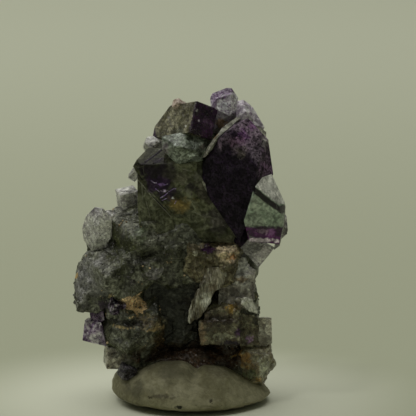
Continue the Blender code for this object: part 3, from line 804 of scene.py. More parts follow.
set_in_place(as_piece("zoned_crystal", [block(*ZONED)]), fluorite(
    "zoned fluorite", (0.34, 0.43, 0.33), (0.66, 0.76, 0.62), (0.26, 0.33, 0.25),
    (0.12, 0.13, 0.10), sizes=(1.4, 0.6, 0.22), strength=(0.9, 0.5, 0.4), shards=(1.2, 0.3, 0.05),
    glitter=(0.3, 0.25, 0.06), glass=0.3, rough=(0.04, 0.15), relief=0.01,
    absorb=((0.6, 0.75, 0.62), 90), cracks=(1.2, 0.03, 0.5, (0.6, 0.66, 0.56)),
    zones=(
        ((10.0, -7.2, 22.5), (-0.05, 0, -1), 0.0, 5.0, 0.3, (0.125, 0.020, 0.145)),
        ((9.2, -8.4, 27.4), ZONED_TOP, -0.90, 0.80, 0.16, (0.010, 0.004, 0.014)),
        # painted reflection: the top face made pale, for the light that it reflects
        ((9.2, -8.4, 27.4), ZONED_TOP, -0.14, 2.0, 0.10, (0.92, 0.91, 0.88)),
    ),
    patches=(
        ((9.9, -7.2, 21.9), 0.7, (0.42, 0.28, 0.40), 0.8, 0.6, (0.7, 0.4, 1.3)),
        ((8.6, -7.2, 21.6), 0.8, (0.03, 0.008, 0.04), 0.8, 0.6, DEEP),
        ((12.0, -6.7, 21.8), 0.7, (0.04, 0.010, 0.05), 0.8, 0.6, DEEP),
        # painted glints: the next two, a pink-white point and a streak of light in the purple foot
        ((11.6, -6.7, 20.6), 0.34, (1.0, 0.85, 1.0), 1.0, 0.6, DEEP),
        ((9.7, -7.0, 20.75), 1.1, (1.0, 0.86, 1.0), 1.0, 0.5, (0.5, 0.4, 3.0)),
        ((10.4, -7.0, 22.3), 0.9, (0.030, 0.006, 0.040), 0.85, 0.6, (0.45, 0.4, 3.0)),
        ((11.0, -6.9, 21.7), 0.6, (0.30, 0.12, 0.34), 0.8, 0.7, DEEP),
        ((12.2, -6.6, 27.0), 0.35, (0.05, 0.04, 0.05), 0.95, 0.5, DEEP),
        ((9.0, -7.9, 25.4), 0.8, (0.60, 0.68, 0.56), 0.7, 0.7, (1.4, 0.4, 0.7)),
    ),
))
clear_grey = fluorite(
    "clear grey fluorite", (0.56, 0.54, 0.53), (0.84, 0.84, 0.80), (0.36, 0.30, 0.37),
    (0.14, 0.09, 0.17), sizes=(1.5, 0.5, 0.22), shards=(1.0, 0.3, 0.04), glitter=(0.3, 0.25, 0.06),
    glass=0.7, rough=(0.06, 0.25), relief=0.01, absorb=((0.7, 0.66, 0.75), 90),
)
set_in_place(as_piece("clear_corner", [
    block(*CORNER_CUBE), block(*ZONED_EDGE),
    crystal((11.1, -3.2, 21.3), (20, 15, 10), cube=1.5, octa=1.9, steps=3, seed=2),
]), clear_grey)
set_in_place(as_piece("joint_crystal", [
    crystal((8.4, -3.6, 20.2), (24, 18, 30), cube=1.4, octa=1.8, steps=3, seed=2),
]), deep_purple)


# The left edge: clear to pale violet cubes and rounded crystals that stand out of the mass, and
# a group of purple cubes lower down.
ROUND = (1, 1, 1)
ROUNDED = (
    (-10.0, -2.6, 23.5), (-9.0, -3.0, 23.4), (-8.0, -3.0, 22.1), (-8.0, -3.0, 20.0),
    (-8.9, -3.0, 18.6), (-10.4, -2.6, 18.1), (-11.4, -2.0, 19.4), (-11.6, -1.8, 20.7),
    (-11.1, -2.0, 22.3), (-9.6, -4.2, 21.6), (-9.6, -4.2, 20.3), (-10.1, 1.4, 22.4),
    (-8.3, 1.6, 20.5), (-8.9, 1.6, 18.0), (-11.0, 1.4, 18.2), (-11.3, 1.4, 20.6),
)
PURPLE_UPPER = (
    (-10.8, -2.6, 11.1), (-9.1, -3.4, 11.2), (-8.9, -3.4, 9.8), (-10.5, -2.8, 9.3),
    (-10.8, 0.4, 10.6), (-9.1, 0.2, 10.6), (-9.1, 0.2, 8.9), (-10.6, 0.4, 8.7),
)
PURPLE_LOWER = (
    (-11.3, -2.4, 9.7), (-9.3, -4.0, 9.7), (-8.7, -3.6, 6.7), (-11.6, -2.6, 7.2), (-11.0, 0.0, 9.5),
    (-9.0, -0.6, 9.3), (-8.8, -0.4, 6.5), (-11.5, 0.2, 6.9),
)

set_in_place(as_piece("left_crystals", [
    crystal((-3.0, 0.2, 30.4), (30, 20, -15), cube=1.0, octa=1.2, steps=2, seed=2),
    crystal((-5.2, 0.4, 27.1), (10, 20, 35), cube={"all": 0.5, "+z": 0.9, "-z": 0.9}),
    crystal(
        (-6.1, 0.8, 23.6), (15, 12, -8), cube={"all": 1.15, "+z": 1.45, "-z": 2.2}, steps=3, seed=2,
    ),
    crystal((-8.0, 0.0, 21.6), (40, 10, 15), cube=0.8),
    block(*ROUNDED),
], edge=0.12), fluorite(
    "pale violet fluorite", (0.82, 0.82, 0.76), (0.98, 0.99, 0.92), (0.60, 0.54, 0.62),
    (0.16, 0.10, 0.20), sizes=(1.5, 0.5, 0.22), strength=(0.9, 0.5, 0.8), specks=0.3,
    shards=(0.9, 0.35, 0.12), glitter=(0.3, 0.3, 0.2), glass=0.55, rough=(0.08, 0.3), relief=0.02,
    absorb=((0.8, 0.8, 0.84), 25), cracks=(0.9, 0.03, 0.5, (0.95, 0.95, 0.9)),
    patches=(
        # painted highlight: a white spot of light on the rounded crystal
        ((-9.4, -4.2, 22.2), 0.7, (1.0, 1.0, 0.95), 1.0, 0.9, (1.3, 0.4, 0.8)),
        ((-3.3, -1.2, 30.3), 0.45, (0.85, 0.60, 0.25), 1.0, 0.4, DEEP),
        ((-7.9, -1.2, 22.0), 0.7, (0.62, 0.48, 0.28), 0.85, 0.5, DEEP),
        ((-10.0, -3.0, 23.7), 0.9, (0.30, 0.26, 0.34), 0.6, 0.6, DEEP),
    ),
))
set_in_place(as_piece("purple_cubes", [
    block(*PURPLE_UPPER), block(*PURPLE_LOWER),
    crystal((-7.4, -4.6, 11.9), (30, 25, 20), cube=0.8),
]), fluorite(
    "violet cubes", (0.40, 0.30, 0.48), (0.80, 0.79, 0.78), (0.13, 0.030, 0.20), (0.04, 0.01, 0.07),
    sizes=(1.3, 0.7, 0.26), strength=(0.9, 0.85, 0.7), shards=(1.0, 0.3, 0.06),
    glitter=(0.3, 0.3, 0.1), glass=0.5, rough=(0.06, 0.25), relief=0.02,
    absorb=((0.6, 0.5, 0.72), 90),
    patches=(
        ((-10.2, -3.0, 11.2), 1.3, (0.085, 0.028, 0.12), 0.85, 0.6, ROUND),
        ((-11.4, -2.6, 7.8), 0.9, (0.10, 0.03, 0.16), 0.8, 0.6, ROUND),
        ((-7.4, -5.0, 12.4), 1.2, (0.02, 0.012, 0.024), 0.95, 0.5, ROUND),
    ),
))


# The mass that the crystals grew on: frosted grey-green fluorite in broken lumps, rough with
# small crystals and dusted with ochre clay in its hollows. Painted shade darkens it where it
# closes in on itself and a painted shadow just above the tack; its pale specks and one white
# spot are painted glints.
# One closed skin is drawn round all of it, and the finest grains are strewn over that.
ROCK = (  # centre, half sizes, turn, seed
    ((3.6, 1.6, 29.4), (4.4, 3.6, 4.6), (10, 5, -12), 1),
    ((2.2, 1.4, 22.6), (6.2, 4.6, 5.0), (25, -6, 8), 2),
    ((-0.8, 0.8, 17.6), (7.8, 5.6, 5.0), (5, 8, 5), 3),
    ((-6.4, -0.8, 15.6), (5.2, 4.6, 5.2), (30, 4, -8), 4),
    ((-9.3, 0.0, 14.2), (3.4, 3.8, 3.6), (12, 0, 10), 5),
    ((-4.6, -0.6, 20.0), (3.8, 4.4, 3.2), (14, 12, -22), 12),
    ((-5.6, -1.2, 8.6), (4.2, 4.8, 4.8), (20, 10, 6), 6),
    ((1.0, 3.0, 8.4), (6.4, 4.2, 6.6), (8, 0, 0), 7),
    ((6.2, 1.0, 9.4), (3.4, 4.6, 5.8), (-15, 5, 4), 8),
    ((1.6, 0.2, 3.9), (7.2, 5.6, 2.6), (6, 0, 0), 9),
    ((7.2, -0.6, 4.2), (2.6, 3.4, 2.8), (20, 4, 0), 10),
)
BACK = (  # centre, turn, cube faces, octahedron faces
    ((3.4, 4.2, 27.4), (20, -35, 8), 4.4, 3.2),
    ((-2.4, 4.2, 22.4), (-15, -28, -10), None, 2.9),
    ((5.6, 5.0, 20.6), (25, -20, 12), 1.9, None),
    ((-6.2, 4.2, 15.2), (40, -30, 5), 3.0, 2.5),
    ((2.2, 6.4, 13.4), (-22, -24, -9), 1.9, 2.9),
    ((7.4, 4.0, 14.6), (10, -18, 20), 1.9, 2.2),
    ((5.0, 5.4, 8.0), (32, -16, -14), 1.8, 2.3),
    ((-3.6, 5.2, 8.4), (18, -22, 16), 1.7, None),
)
FRONT = (  # the same
    ((-3.4, -4.4, 16.4), (28, 14, -12), 1.3, 1.6),
    ((-6.4, -4.4, 14.0), (12, 30, 8), None, 1.5),
    ((-5.6, -4.0, 5.2), (10, 20, 15), 1.0, 1.2),
)
BULGE = (
    (-10.7, -2.6, 18.1), (-9.4, -3.6, 18.3), (-7.8, -4.6, 17.2), (-7.8, -4.8, 12.6),
    (-9.2, -4.0, 11.1), (-11.0, -2.8, 11.2), (-12.1, -2.2, 12.0), (-12.6, -2.2, 13.7),
    (-12.6, -2.2, 14.8), (-11.8, -2.2, 16.5), (-10.3, -4.6, 14.6), (-11.0, 2.4, 15.8),
    (-9.0, 2.6, 15.8), (-9.0, 2.4, 10.9), (-11.8, 2.2, 11.8),
)
DRUSE_ON = (  # centre, half sizes and turn of the lump under it, how many
    ((-0.8, 0.8, 17.6), (7.6, 5.5, 4.9), (5, 8, 5), 16),
    ((-6.4, -0.8, 15.6), (5.1, 4.5, 5.1), (30, 4, -8), 22),
    ((-5.6, -1.2, 9.0), (4.1, 4.7, 4.4), (20, 10, 6), 34),
    ((6.2, 1.0, 10.4), (3.3, 4.5, 4.8), (-15, 5, 4), 8),
    ((-4.6, -0.6, 20.0), (3.7, 4.3, 3.1), (14, 12, -22), 14),
    ((2.0, 1.8, 21.6), (5.6, 4.4, 4.0), (25, -6, 8), 10),
)
DRUSE_SMALLEST = 0.55
DRUSE_LARGEST = 1.05
DRUSE_LOWEST = 7.4
DRUSE_SEED = 11


def broken_rock(centre, half_size, turn, seed, breaks=24):
    """A lump of massive fluorite with flat breaks all round, of the given half sizes."""
    chance = random.Random(seed)
    form = bmesh.new()
    bmesh.ops.create_cube(form, size=2.0)
    for _ in range(breaks):
        normal = Vector([chance.gauss(0, 1) for _ in range(3)]).normalized()
        cut_flat(form, normal, chance.uniform(0.80, 1.0))
    form.transform(standing_at(centre) @ attitude(*turn) @ Matrix.Diagonal((*half_size, 1.0)))
    return form


def druse():
    """Small crystals that cover the rock: cubes with cut corners, each in its own attitude."""
    chance = random.Random(DRUSE_SEED)
    grown = []
    for centre, half_size, turn, count in DRUSE_ON:
        for _ in range(count):
            way = Vector([chance.gauss(0, 1) for _ in range(3)]).normalized()
            foot = Vector([0.86 * a * b for a, b in zip(half_size, way)])
            spot = Vector(centre) + attitude(*turn).to_3x3() @ foot
            size = chance.uniform(DRUSE_SMALLEST, DRUSE_LARGEST)
            lie = (chance.uniform(0, 90), chance.uniform(5, 45), chance.uniform(-25, 25))
            corner = size * chance.uniform(1.15, 1.6)
            if spot.z > DRUSE_LOWEST:
                grown.append(crystal(spot, lie, cube=size, octa=corner))
    return grown


def grown_together(name, forms, grain, steps=(), swell=()):
    """One closed skin round the forms, with grown steps along some axes and soft swells.

    grain is the size of its facets; steps has (turn, size, height) and swell (size, height).
    """
    piece = as_piece(name, forms, edge=0)
    skin = piece.modifiers.new("Skin", "REMESH")
    skin.mode = "VOXEL"
    skin.voxel_size = grain * MM
    graph = bpy.context.evaluated_depsgraph_get()
    mesh = bpy.data.meshes.new_from_object(piece.evaluated_get(graph))
    mesh.name = name
    piece.modifiers.remove(skin)
    piece.data = mesh
    outward = [vert.normal.copy() for vert in mesh.vertices]
    steps = [(attitude(*turn).to_3x3().transposed(), size, height) for turn, size, height in steps]
    for vert, away in zip(mesh.vertices, outward):
        place = vert.co / MM
        rise = sum(height * (noise.cell(turn @ place / size) - 0.5) for turn, size, height in steps)
        rise += sum(height * noise.noise(place / size) for size, height in swell)
        vert.co += away * rise * MM
    mesh.shade_smooth()
    return piece


def strewn_tree():
    """Strews small cubes or crumbs over a surface, in patches, half sunk in it."""
    tree = bpy.data.node_groups.new("Strewn", "GeometryNodeTree")
    for label, kind, value in (
        ("Ground", "Geometry", None), ("Density", "Float", 1e6), ("Smallest", "Float", 0.0002),
        ("Largest", "Float", 0.0005), ("Lowest", "Float", 0.0), ("Clumps", "Float", 0.002),
        ("Share", "Float", 0.5), ("Crumbs", "Bool", False), ("Seed", "Int", 1),
        ("Finish", "Material", None),
    ):
        socket = tree.interface.new_socket(label, in_out="INPUT", socket_type=f"NodeSocket{kind}")
        if value is not None:
            socket.default_value = value
    tree.interface.new_socket("Strewn", in_out="OUTPUT", socket_type="NodeSocketGeometry")
    given = tree.nodes.new("NodeGroupInput").outputs

    def above(value, limit):
        compared = node(tree, "FunctionNodeCompare", {0: value, 1: limit}, operation="GREATER_THAN")
        return compared.outputs[0]

    position = node(tree, "GeometryNodeInputPosition").outputs[0]
    high = above(node(tree, "ShaderNodeSeparateXYZ", {0: position}).outputs["Z"], given["Lowest"])
    veil = node(tree, "ShaderNodeTexNoise", {
        "Vector": position, "Scale": maths(tree, "DIVIDE", 1.0, given["Clumps"]), "Detail": 2.0,
    }).outputs["Fac"]
    bare = maths(tree, "SUBTRACT", 0.8, maths(tree, "MULTIPLY", given["Share"], 0.6))
    both = {0: high, 1: above(veil, bare)}
    chosen = node(tree, "FunctionNodeBooleanMath", both, operation="AND").outputs[0]
    points = node(tree, "GeometryNodeDistributePointsOnFaces", {
        "Mesh": given["Ground"], "Selection": chosen, "Density": given["Density"],
        "Seed": given["Seed"],
    }).outputs["Points"]
    cube = node(tree, "GeometryNodeMeshCube", {"Size": (1.0, 1.0, 1.0)}).outputs["Mesh"]
    crumb = node(tree, "GeometryNodeMeshIcoSphere", {
        "Radius": 0.5, "Subdivisions": 1,
    }).outputs["Mesh"]
    grain = node(tree, "GeometryNodeSwitch", {
        "Switch": given["Crumbs"], "False": cube, "True": crumb,
    }, input_type="GEOMETRY").outputs["Output"]
    turn = node(tree, "FunctionNodeRandomValue", {
        "Max": (6.28, 6.28, 6.28),
    }, data_type="FLOAT_VECTOR").outputs[0]
    size = node(tree, "FunctionNodeRandomValue", {
        2: given["Smallest"], 3: given["Largest"], "Seed": given["Seed"],
    }, data_type="FLOAT").outputs[1]
    strewn = node(tree, "GeometryNodeInstanceOnPoints", {
        "Points": points, "Instance": grain, "Rotation": turn, "Scale": size,
    }).outputs["Instances"]
    real = node(tree, "GeometryNodeRealizeInstances", {"Geometry": strewn}).outputs["Geometry"]
    done = node(tree, "GeometryNodeSetMaterial", {
        "Geometry": real, "Material": given["Finish"],
    }).outputs["Geometry"]
    node(tree, "NodeGroupOutput", {"Strewn": done})
    return tree


STREWN = strewn_tree()


def strew(name, ground, finish, **values):
    """Makes a piece of what is strewn over the ground's surface."""
    piece = bpy.data.objects.new(name, ground.data.copy())
    bpy.context.collection.objects.link(piece)
    strewing = piece.modifiers.new("Strewing", "NODES")
    strewing.node_group = STREWN
    values["Finish"] = finish
    for socket in STREWN.interface.items_tree:
        if socket.item_type == "SOCKET" and socket.in_out == "INPUT" and socket.name in values:
            strewing[socket.identifier] = values[socket.name]
    graph = bpy.context.evaluated_depsgraph_get()
    mesh = bpy.data.meshes.new_from_object(piece.evaluated_get(graph))
    mesh.name = name
    piece.modifiers.remove(strewing)
    piece.data = mesh
    return set_in_place(piece, finish)


# the fourth colour, for the pale specks, is painted glints: points of light on the frosted grains
frosted = fluorite(
    "frosted fluorite", (0.062, 0.067, 0.034), (0.235, 0.240, 0.195), (0.052, 0.052, 0.030),
    (0.50, 0.50, 0.42), sizes=(2.8, 0.7, 0.2), strength=(1.0, 0.6, 0.6), specks=0.2,
    shards=(1.1, 0.35, 0.10), glitter=(0.24, 0.45, 0.35), relief=0.04, glass=0.1, rough=(0.2, 0.5),
    shine=0.4, cracks=(1.4, 0.035, 0.5, (0.34, 0.35, 0.30)),
    patches=(
        ((-10.5, -3.5, 15.2), 4.0, (0.27, 0.265, 0.27), 0.75, 0.8, ROUND),
        ((-12.2, -2.5, 12.4), 1.6, (0.12, 0.10, 0.13), 0.7, 0.7, ROUND),
        ((-6.6, -4.8, 19.4), 2.2, (0.048, 0.054, 0.020), 0.85, 0.6, (0.8, 0.4, 1.2)),
        ((-8.2, -4.4, 17.6), 1.2, (0.060, 0.060, 0.035), 0.7, 0.7, ROUND),
        ((-4.6, -4.6, 21.6), 1.6, (0.12, 0.15, 0.10), 0.6, 0.7, ROUND),
        ((1.0, -4.0, 20.5), 3.5, (0.125, 0.130, 0.10), 0.6, 0.7, ROUND),
        ((2.9, -3.9, 18.0), 2.0, (0.19, 0.135, 0.060), 0.7, 0.7, ROUND),
        ((-3.0, -5.2, 16.4), 1.2, (0.30, 0.28, 0.31), 0.8, 0.7, (0.8, 0.4, 1.2)),
        ((-4.4, -4.8, 17.8), 1.8, (0.030, 0.030, 0.024), 0.8, 0.7, (0.6, 0.4, 1.4)),
        ((-5.6, -5.0, 15.4), 0.6, (0.05, 0.03, 0.06), 0.7, 0.6, DEEP),
        ((-2.0, -3.6, 12.0), 2.2, (0.045, 0.047, 0.042), 0.7, 0.7, DEEP),
        # painted shade: the dark middle of the hollow, where the mass closes in on itself
        ((0.8, -0.8, 12.0), 3.6, (0.014, 0.013, 0.009), 0.9, 0.6, (1, 0.5, 0.75)),
        # painted shadow: dark brown, just above the tack under the mass
        ((2.5, -2.0, 6.2), 5.0, (0.040, 0.018, 0.009), 0.92, 0.4, (0.6, 0.4, 1.6)),
        ((-5.6, -4.6, 12.9), 1.3, (0.80, 0.58, 0.34), 1.0, 0.25, (0.8, 0.4, 1.2)),
        ((-4.6, -4.8, 12.2), 0.9, (0.70, 0.50, 0.28), 1.0, 0.25, DEEP),
        ((-5.8, -4.6, 11.2), 0.5, (0.70, 0.50, 0.28), 1.0, 0.3, (0.5, 0.4, 2.0)),
        ((-2.6, -4.6, 9.6), 0.7, (0.45, 0.33, 0.17), 0.9, 0.3, (0.4, 0.4, 2.0)),
        ((-6.4, -4.6, 9.9), 0.7, (0.50, 0.38, 0.20), 0.9, 0.3, (0.4, 0.4, 2.4)),
        ((-8.9, -3.6, 12.4), 0.9, (0.03, 0.015, 0.035), 0.9, 0.4, DEEP),
        ((-3.6, -4.4, 10.4), 1.6, (0.26, 0.19, 0.10), 0.6, 0.6, (0.6, 0.4, 1.5)),
        ((-6.0, -4.6, 10.4), 1.6, (0.020, 0.018, 0.018), 0.9, 0.4, (0.5, 0.4, 3.0)),
        ((-3.0, -3.6, 8.0), 2.6, (0.095, 0.072, 0.032), 0.5, 0.7, ROUND),
        ((-7.0, -4.2, 8.2), 1.8, (0.20, 0.21, 0.16), 0.6, 0.7, ROUND),
        ((-7.3, -4.6, 15.4), 0.45, (0.50, 0.40, 0.20), 0.95, 0.5, DEEP),
        ((-8.2, -4.6, 13.6), 0.35, (0.50, 0.40, 0.20), 0.95, 0.5, DEEP),
        ((-12.4, -2.4, 15.6), 0.45, (0.60, 0.42, 0.18), 0.95, 0.4, ROUND),
        # painted glint: a small white point of light on the bulge
        ((-11.2, -3.2, 16.6), 0.18, (0.9, 0.9, 0.9), 1.0, 0.4, ROUND),
    ),
)
frosted_mass = set_in_place(grown_together(
    "frosted_mass",
    [block(*BULGE)] + [broken_rock(*lump) for lump in ROCK]
    + [crystal(*each) for each in BACK] + druse() + [crystal(*each) for each in FRONT],
    grain=0.18, steps=(((20, 30, 10), 1.2, 0.06),), swell=((1.8, 0.16), (0.7, 0.05)),
), frosted)
strew("fine_druse", frosted_mass, fluorite(
    "fine druse", (0.10, 0.10, 0.07), (0.22, 0.22, 0.17), (0.14, 0.13, 0.13), (0.03, 0.02, 0.02),
    sizes=(2.5, 0.6, 0.3), strength=(0.9, 0.6, 0.5), glass=0.3, rough=(0.1, 0.4),
    patches=(
        # painted shade in the middle of the hollow, then a painted shadow just above the tack, as
        # on the mass
        ((0.8, -0.8, 12.0), 3.8, (0.018, 0.016, 0.011), 0.95, 0.6, (1, 0.5, 0.75)),
        ((2.5, -2.0, 6.2), 5.0, (0.035, 0.020, 0.012), 0.95, 0.4, (0.6, 0.4, 1.6)),
    ),
), Density=9e5, Smallest=0.00012, Largest=0.00032, Lowest=0.0082, Clumps=0.003, Share=0.5,
    Seed=5)
strew("clay_crumbs", frosted_mass, fluorite(
    "ochre clay", (0.50, 0.38, 0.22), (0.72, 0.58, 0.38), (0.28, 0.20, 0.11), (0.10, 0.05, 0.02),
    sizes=(1.0, 0.4, 0.2), glass=0.0, rough=(0.7, 0.95), relief=0.03,
), Density=1.2e6, Smallest=0.00010, Largest=0.00032, Lowest=0.0072, Clumps=0.0016, Share=0.30,
    Crumbs=True, Seed=9)


# The dark hollow under the mass: three smooth, smoky crystals that the light hardly reaches,
# grown into each other and into the rock behind them. Painted shade darkens their right side
# further, and a painted shadow their foot above the tack.
HOLLOW_UPPER = (
    (-1.5, -2.6, 16.1), (0.7, -3.0, 16.4), (2.9, -3.4, 14.9), (2.5, -3.4, 12.3), (0.4, -3.0, 11.3),
    (-1.6, -2.6, 13.1), (-1.1, 1.5, 15.0), (2.5, 1.5, 13.8), (0.7, 1.5, 10.6),
)
HOLLOW_LOWER = (
    (-1.5, -3.0, 11.9), (0.1, -3.0, 12.1), (2.2, -3.4, 11.6), (2.5, -2.6, 7.5), (0.7, -2.4, 6.3),
    (-1.7, -2.6, 6.7), (-1.1, 1.5, 10.7), (2.0, 1.5, 10.1), (0.1, 1.5, 6.3),
)
HOLLOW_LEFT = (
    (-4.2, -3.6, 14.6), (0.2, -2.9, 15.2), (0.4, -2.9, 9.0), (-2.6, -3.4, 7.0), (-4.4, -3.6, 9.6),
    (-3.8, 0.6, 13.6), (-1.0, 0.8, 13.8), (-1.4, 0.6, 8.2),
)
set_in_place(grown_together("hollow_crystals", [
    block(*HOLLOW_UPPER), block(*HOLLOW_LOWER), block(*HOLLOW_LEFT),
], grain=0.11, steps=(((6, 4, 2), 1.3, 0.20),), swell=((1.4, 0.2), (0.6, 0.05))), fluorite(
    "smoky fluorite", (0.036, 0.037, 0.028), (0.090, 0.094, 0.084), (0.018, 0.018, 0.012),
    (0.20, 0.20, 0.17), sizes=(2.0, 0.6, 0.2), specks=0.15, shards=(1.0, 0.4, 0.06),
    glitter=(0.3, 0.4, 0.15), glass=0.2, rough=(0.12, 0.35), relief=0.02, shine=0.25,
    cracks=(1.0, 0.03, 0.4, (0.12, 0.12, 0.10)),
    patches=(
        # painted shade: the right side of the hollow, darkened further
        ((2.4, -3.4, 12.0), 2.4, (0.015, 0.012, 0.006), 0.95, 0.8, (0.8, 0.4, 0.45)),
        ((1.0, -3.2, 15.6), 1.6, (0.040, 0.040, 0.030), 0.8, 0.7, (0.7, 0.4, 1.2)),
        # painted shadow: the foot of the hollow, just above the tack
        ((0.6, -3.2, 6.8), 1.6, (0.030, 0.022, 0.012), 0.9, 0.7, (0.5, 0.4, 1.2)),
        ((1.6, -3.6, 15.4), 0.5, (0.34, 0.30, 0.18), 0.9, 0.6, (0.8, 0.4, 1.6)),
    ),
))


# The lower right: a blade of milky quartz across the hollow, a rusty crystal above it, a pale
# column, a ledge of stepped blocks, clear cubes at the edge and a green crystal in the tack.
RUSTY_TURN = (-14, 14, 3)
COLUMN_TURN = (24, 16, 8)
LOW_TURN = (-30, 18, 14)
QUARTZ_TOP = (
    (3.0, -5.2, 16.4), (4.2, -5.6, 16.9), (5.4, -5.4, 16.6), (5.8, -5.2, 15.4), (4.9, -5.4, 13.9),
    (3.3, -5.6, 13.6), (2.7, -5.2, 14.9), (3.4, -3.4, 16.2), (5.5, -3.4, 16.0), (4.8, -3.4, 14.2),
    (3.2, -3.4, 14.4),
)
QUARTZ_NEAR = (
    (2.9, -5.6, 15.0), (4.4, -5.6, 14.6), (3.9, -5.4, 12.6), (2.6, -5.1, 10.4), (1.7, -5.0, 10.2),
    (1.8, -5.2, 12.0), (2.7, -4.6, 15.0), (4.2, -4.6, 14.2), (2.4, -4.2, 10.4),
)
QUARTZ_FAR = (
    (2.2, -4.9, 14.0), (3.0, -5.0, 14.2), (2.2, -4.9, 10.6), (1.3, -4.6, 9.6), (1.0, -4.6, 10.4),
    (1.5, -4.8, 12.4), (2.4, -3.8, 13.8), (1.4, -3.6, 10.2), (3.4, -4.6, 11.6), (2.9, -4.6, 10.6),
)
LEDGE = (
    (2.3, -6.0, 10.2), (7.0, -6.2, 10.3), (7.3, -6.0, 7.4), (2.5, -5.8, 7.3), (2.6, -3.2, 10.1),
    (7.1, -3.2, 10.2), (7.1, -1.5, 6.8), (2.8, -1.5, 6.8),
)
LEDGE_STEP = (
    (3.1, -5.4, 11.3), (6.8, -5.4, 11.9), (7.3, -5.6, 10.5), (2.9, -5.5, 10.0), (4.0, -3.4, 12.3),
    (6.8, -3.2, 12.8), (7.1, -1.8, 9.8), (3.2, -1.8, 9.5),
)
COLUMN_UPPER = (
    (6.5, -3.4, 17.7), (8.1, -3.0, 17.4), (8.6, -2.8, 15.6), (8.0, -3.2, 14.4), (6.2, -4.0, 14.8),
    (5.7, -4.0, 16.3), (6.8, 0.2, 16.8), (8.5, 0.4, 15.2), (7.3, 0.4, 13.6), (6.0, 0.4, 15.0),
)
COLUMN_LEFT = (
    (4.9, -4.1, 14.6), (7.4, -4.3, 14.6), (7.4, -4.5, 10.9), (4.5, -4.3, 10.9), (5.2, -1.0, 14.0),
    (7.2, -1.0, 14.0), (7.2, -1.0, 11.0), (4.9, -1.0, 11.0),
)
COLUMN_LOWER = (
    (5.9, -4.4, 14.8), (7.7, -4.0, 15.5), (8.9, -3.2, 14.2), (9.1, -3.2, 12.3), (7.3, -4.6, 11.3),
    (5.6, -4.6, 12.2), (6.4, -0.5, 14.2), (8.8, 0.2, 13.7), (9.0, 0.2, 11.6), (5.9, -0.5, 11.4),
)
WHITE_KNOB = (
    (7.3, -4.8, 12.9), (8.3, -4.8, 13.0), (9.4, -4.1, 11.8), (9.4, -4.1, 10.8), (8.4, -4.9, 11.1),
    (7.5, -5.0, 12.1), (8.2, -2.6, 12.2), (9.2, -2.4, 11.1),
)
BESIDE_LEDGE = (
    (7.1, -3.6, 10.9), (9.5, -2.6, 10.2), (9.7, -2.6, 6.5), (7.3, -3.8, 6.7), (7.3, 1.0, 9.2),
    (9.5, 1.0, 9.2), (9.5, 1.0, 6.4), (7.6, 1.0, 6.4),
)
RIGHT_CUBE = (
    (9.2, -2.4, 9.9), (11.1, -1.6, 9.8), (11.2, -1.6, 6.6), (9.4, -2.6, 6.7), (9.8, 0.8, 9.4),
    (11.1, 0.6, 9.4), (11.2, 0.4, 6.5), (9.8, 0.6, 6.5),
)

set_in_place(grown_together(
    "quartz_blade", [block(*QUARTZ_TOP), block(*QUARTZ_NEAR), block(*QUARTZ_FAR)], grain=0.08,
    steps=(((12, -6, 32), 0.7, 0.06),), swell=((0.9, 0.22), (0.4, 0.07)),
), fluorite(
    "milky quartz", (0.15, 0.130, 0.080), (0.60, 0.59, 0.49), (0.13, 0.095, 0.050),
    (0.07, 0.04, 0.02), sizes=(1.6, 0.6, 0.2), strength=(1.0, 0.6, 0.5), shards=(0.6, 0.3, 0.15),
    glitter=(0.25, 0.25, 0.3), streaks=((0, -32, 0), (2.6, 1.0, 0.5)), glass=0.1, rough=(0.2, 0.45),
    relief=0.04,
    patches=(
        ((4.6, -5.8, 16.0), 1.1, (0.50, 0.46, 0.36), 0.85, 0.6, DEEP),
        ((3.2, -5.4, 13.2), 0.9, (0.75, 0.75, 0.66), 0.85, 0.7, (1.2, 0.4, 0.7)),
        ((4.0, -5.6, 14.8), 0.7, (0.16, 0.12, 0.07), 0.7, 0.6, DEEP),
    ),
))
set_in_place(grown_together(
    "rusty_crystal", [crystal(
        (4.1, -2.8, 16.9), RUSTY_TURN, cube={"all": 2.3, "+x": 3.2, "-x": 3.0}, octa=3.6,
    )], grain=0.11,
    steps=((RUSTY_TURN, 0.8, 0.16), ((10, 20, 3), 0.4, 0.10)), swell=((1.2, 0.3), (0.5, 0.12)),
), fluorite(
    "rusty fluorite", (0.12, 0.110, 0.060), (0.34, 0.31, 0.205), (0.16, 0.115, 0.058),
    (0.035, 0.02, 0.01), sizes=(1.8, 0.5, 0.22), strength=(0.9, 0.6, 0.6), specks=0.35,
    shards=(1.1, 0.35, 0.08), glitter=(0.28, 0.35, 0.25), relief=0.03, glass=0.15,
    rough=(0.15, 0.4), shine=0.35, cracks=(1.0, 0.04, 0.5, (0.34, 0.28, 0.18)),
    patches=(
        ((5.8, -4.4, 19.2), 1.6, (0.90, 0.74, 0.50), 0.95, 0.5, (0.8, 0.4, 1.0)),
        ((6.2, -4.4, 18.3), 0.7, (0.60, 0.30, 0.10), 0.9, 0.5, DEEP),
        ((3.6, -4.6, 19.3), 0.8, (0.045, 0.012, 0.055), 0.95, 0.4, (0.7, 0.4, 1.4)),
        ((2.0, -4.6, 18.8), 0.40, (0.80, 0.78, 0.62), 1.0, 0.4, DEEP),
        ((3.6, -5.0, 15.6), 1.0, (0.26, 0.15, 0.06), 0.8, 0.6, DEEP),
    ),
))
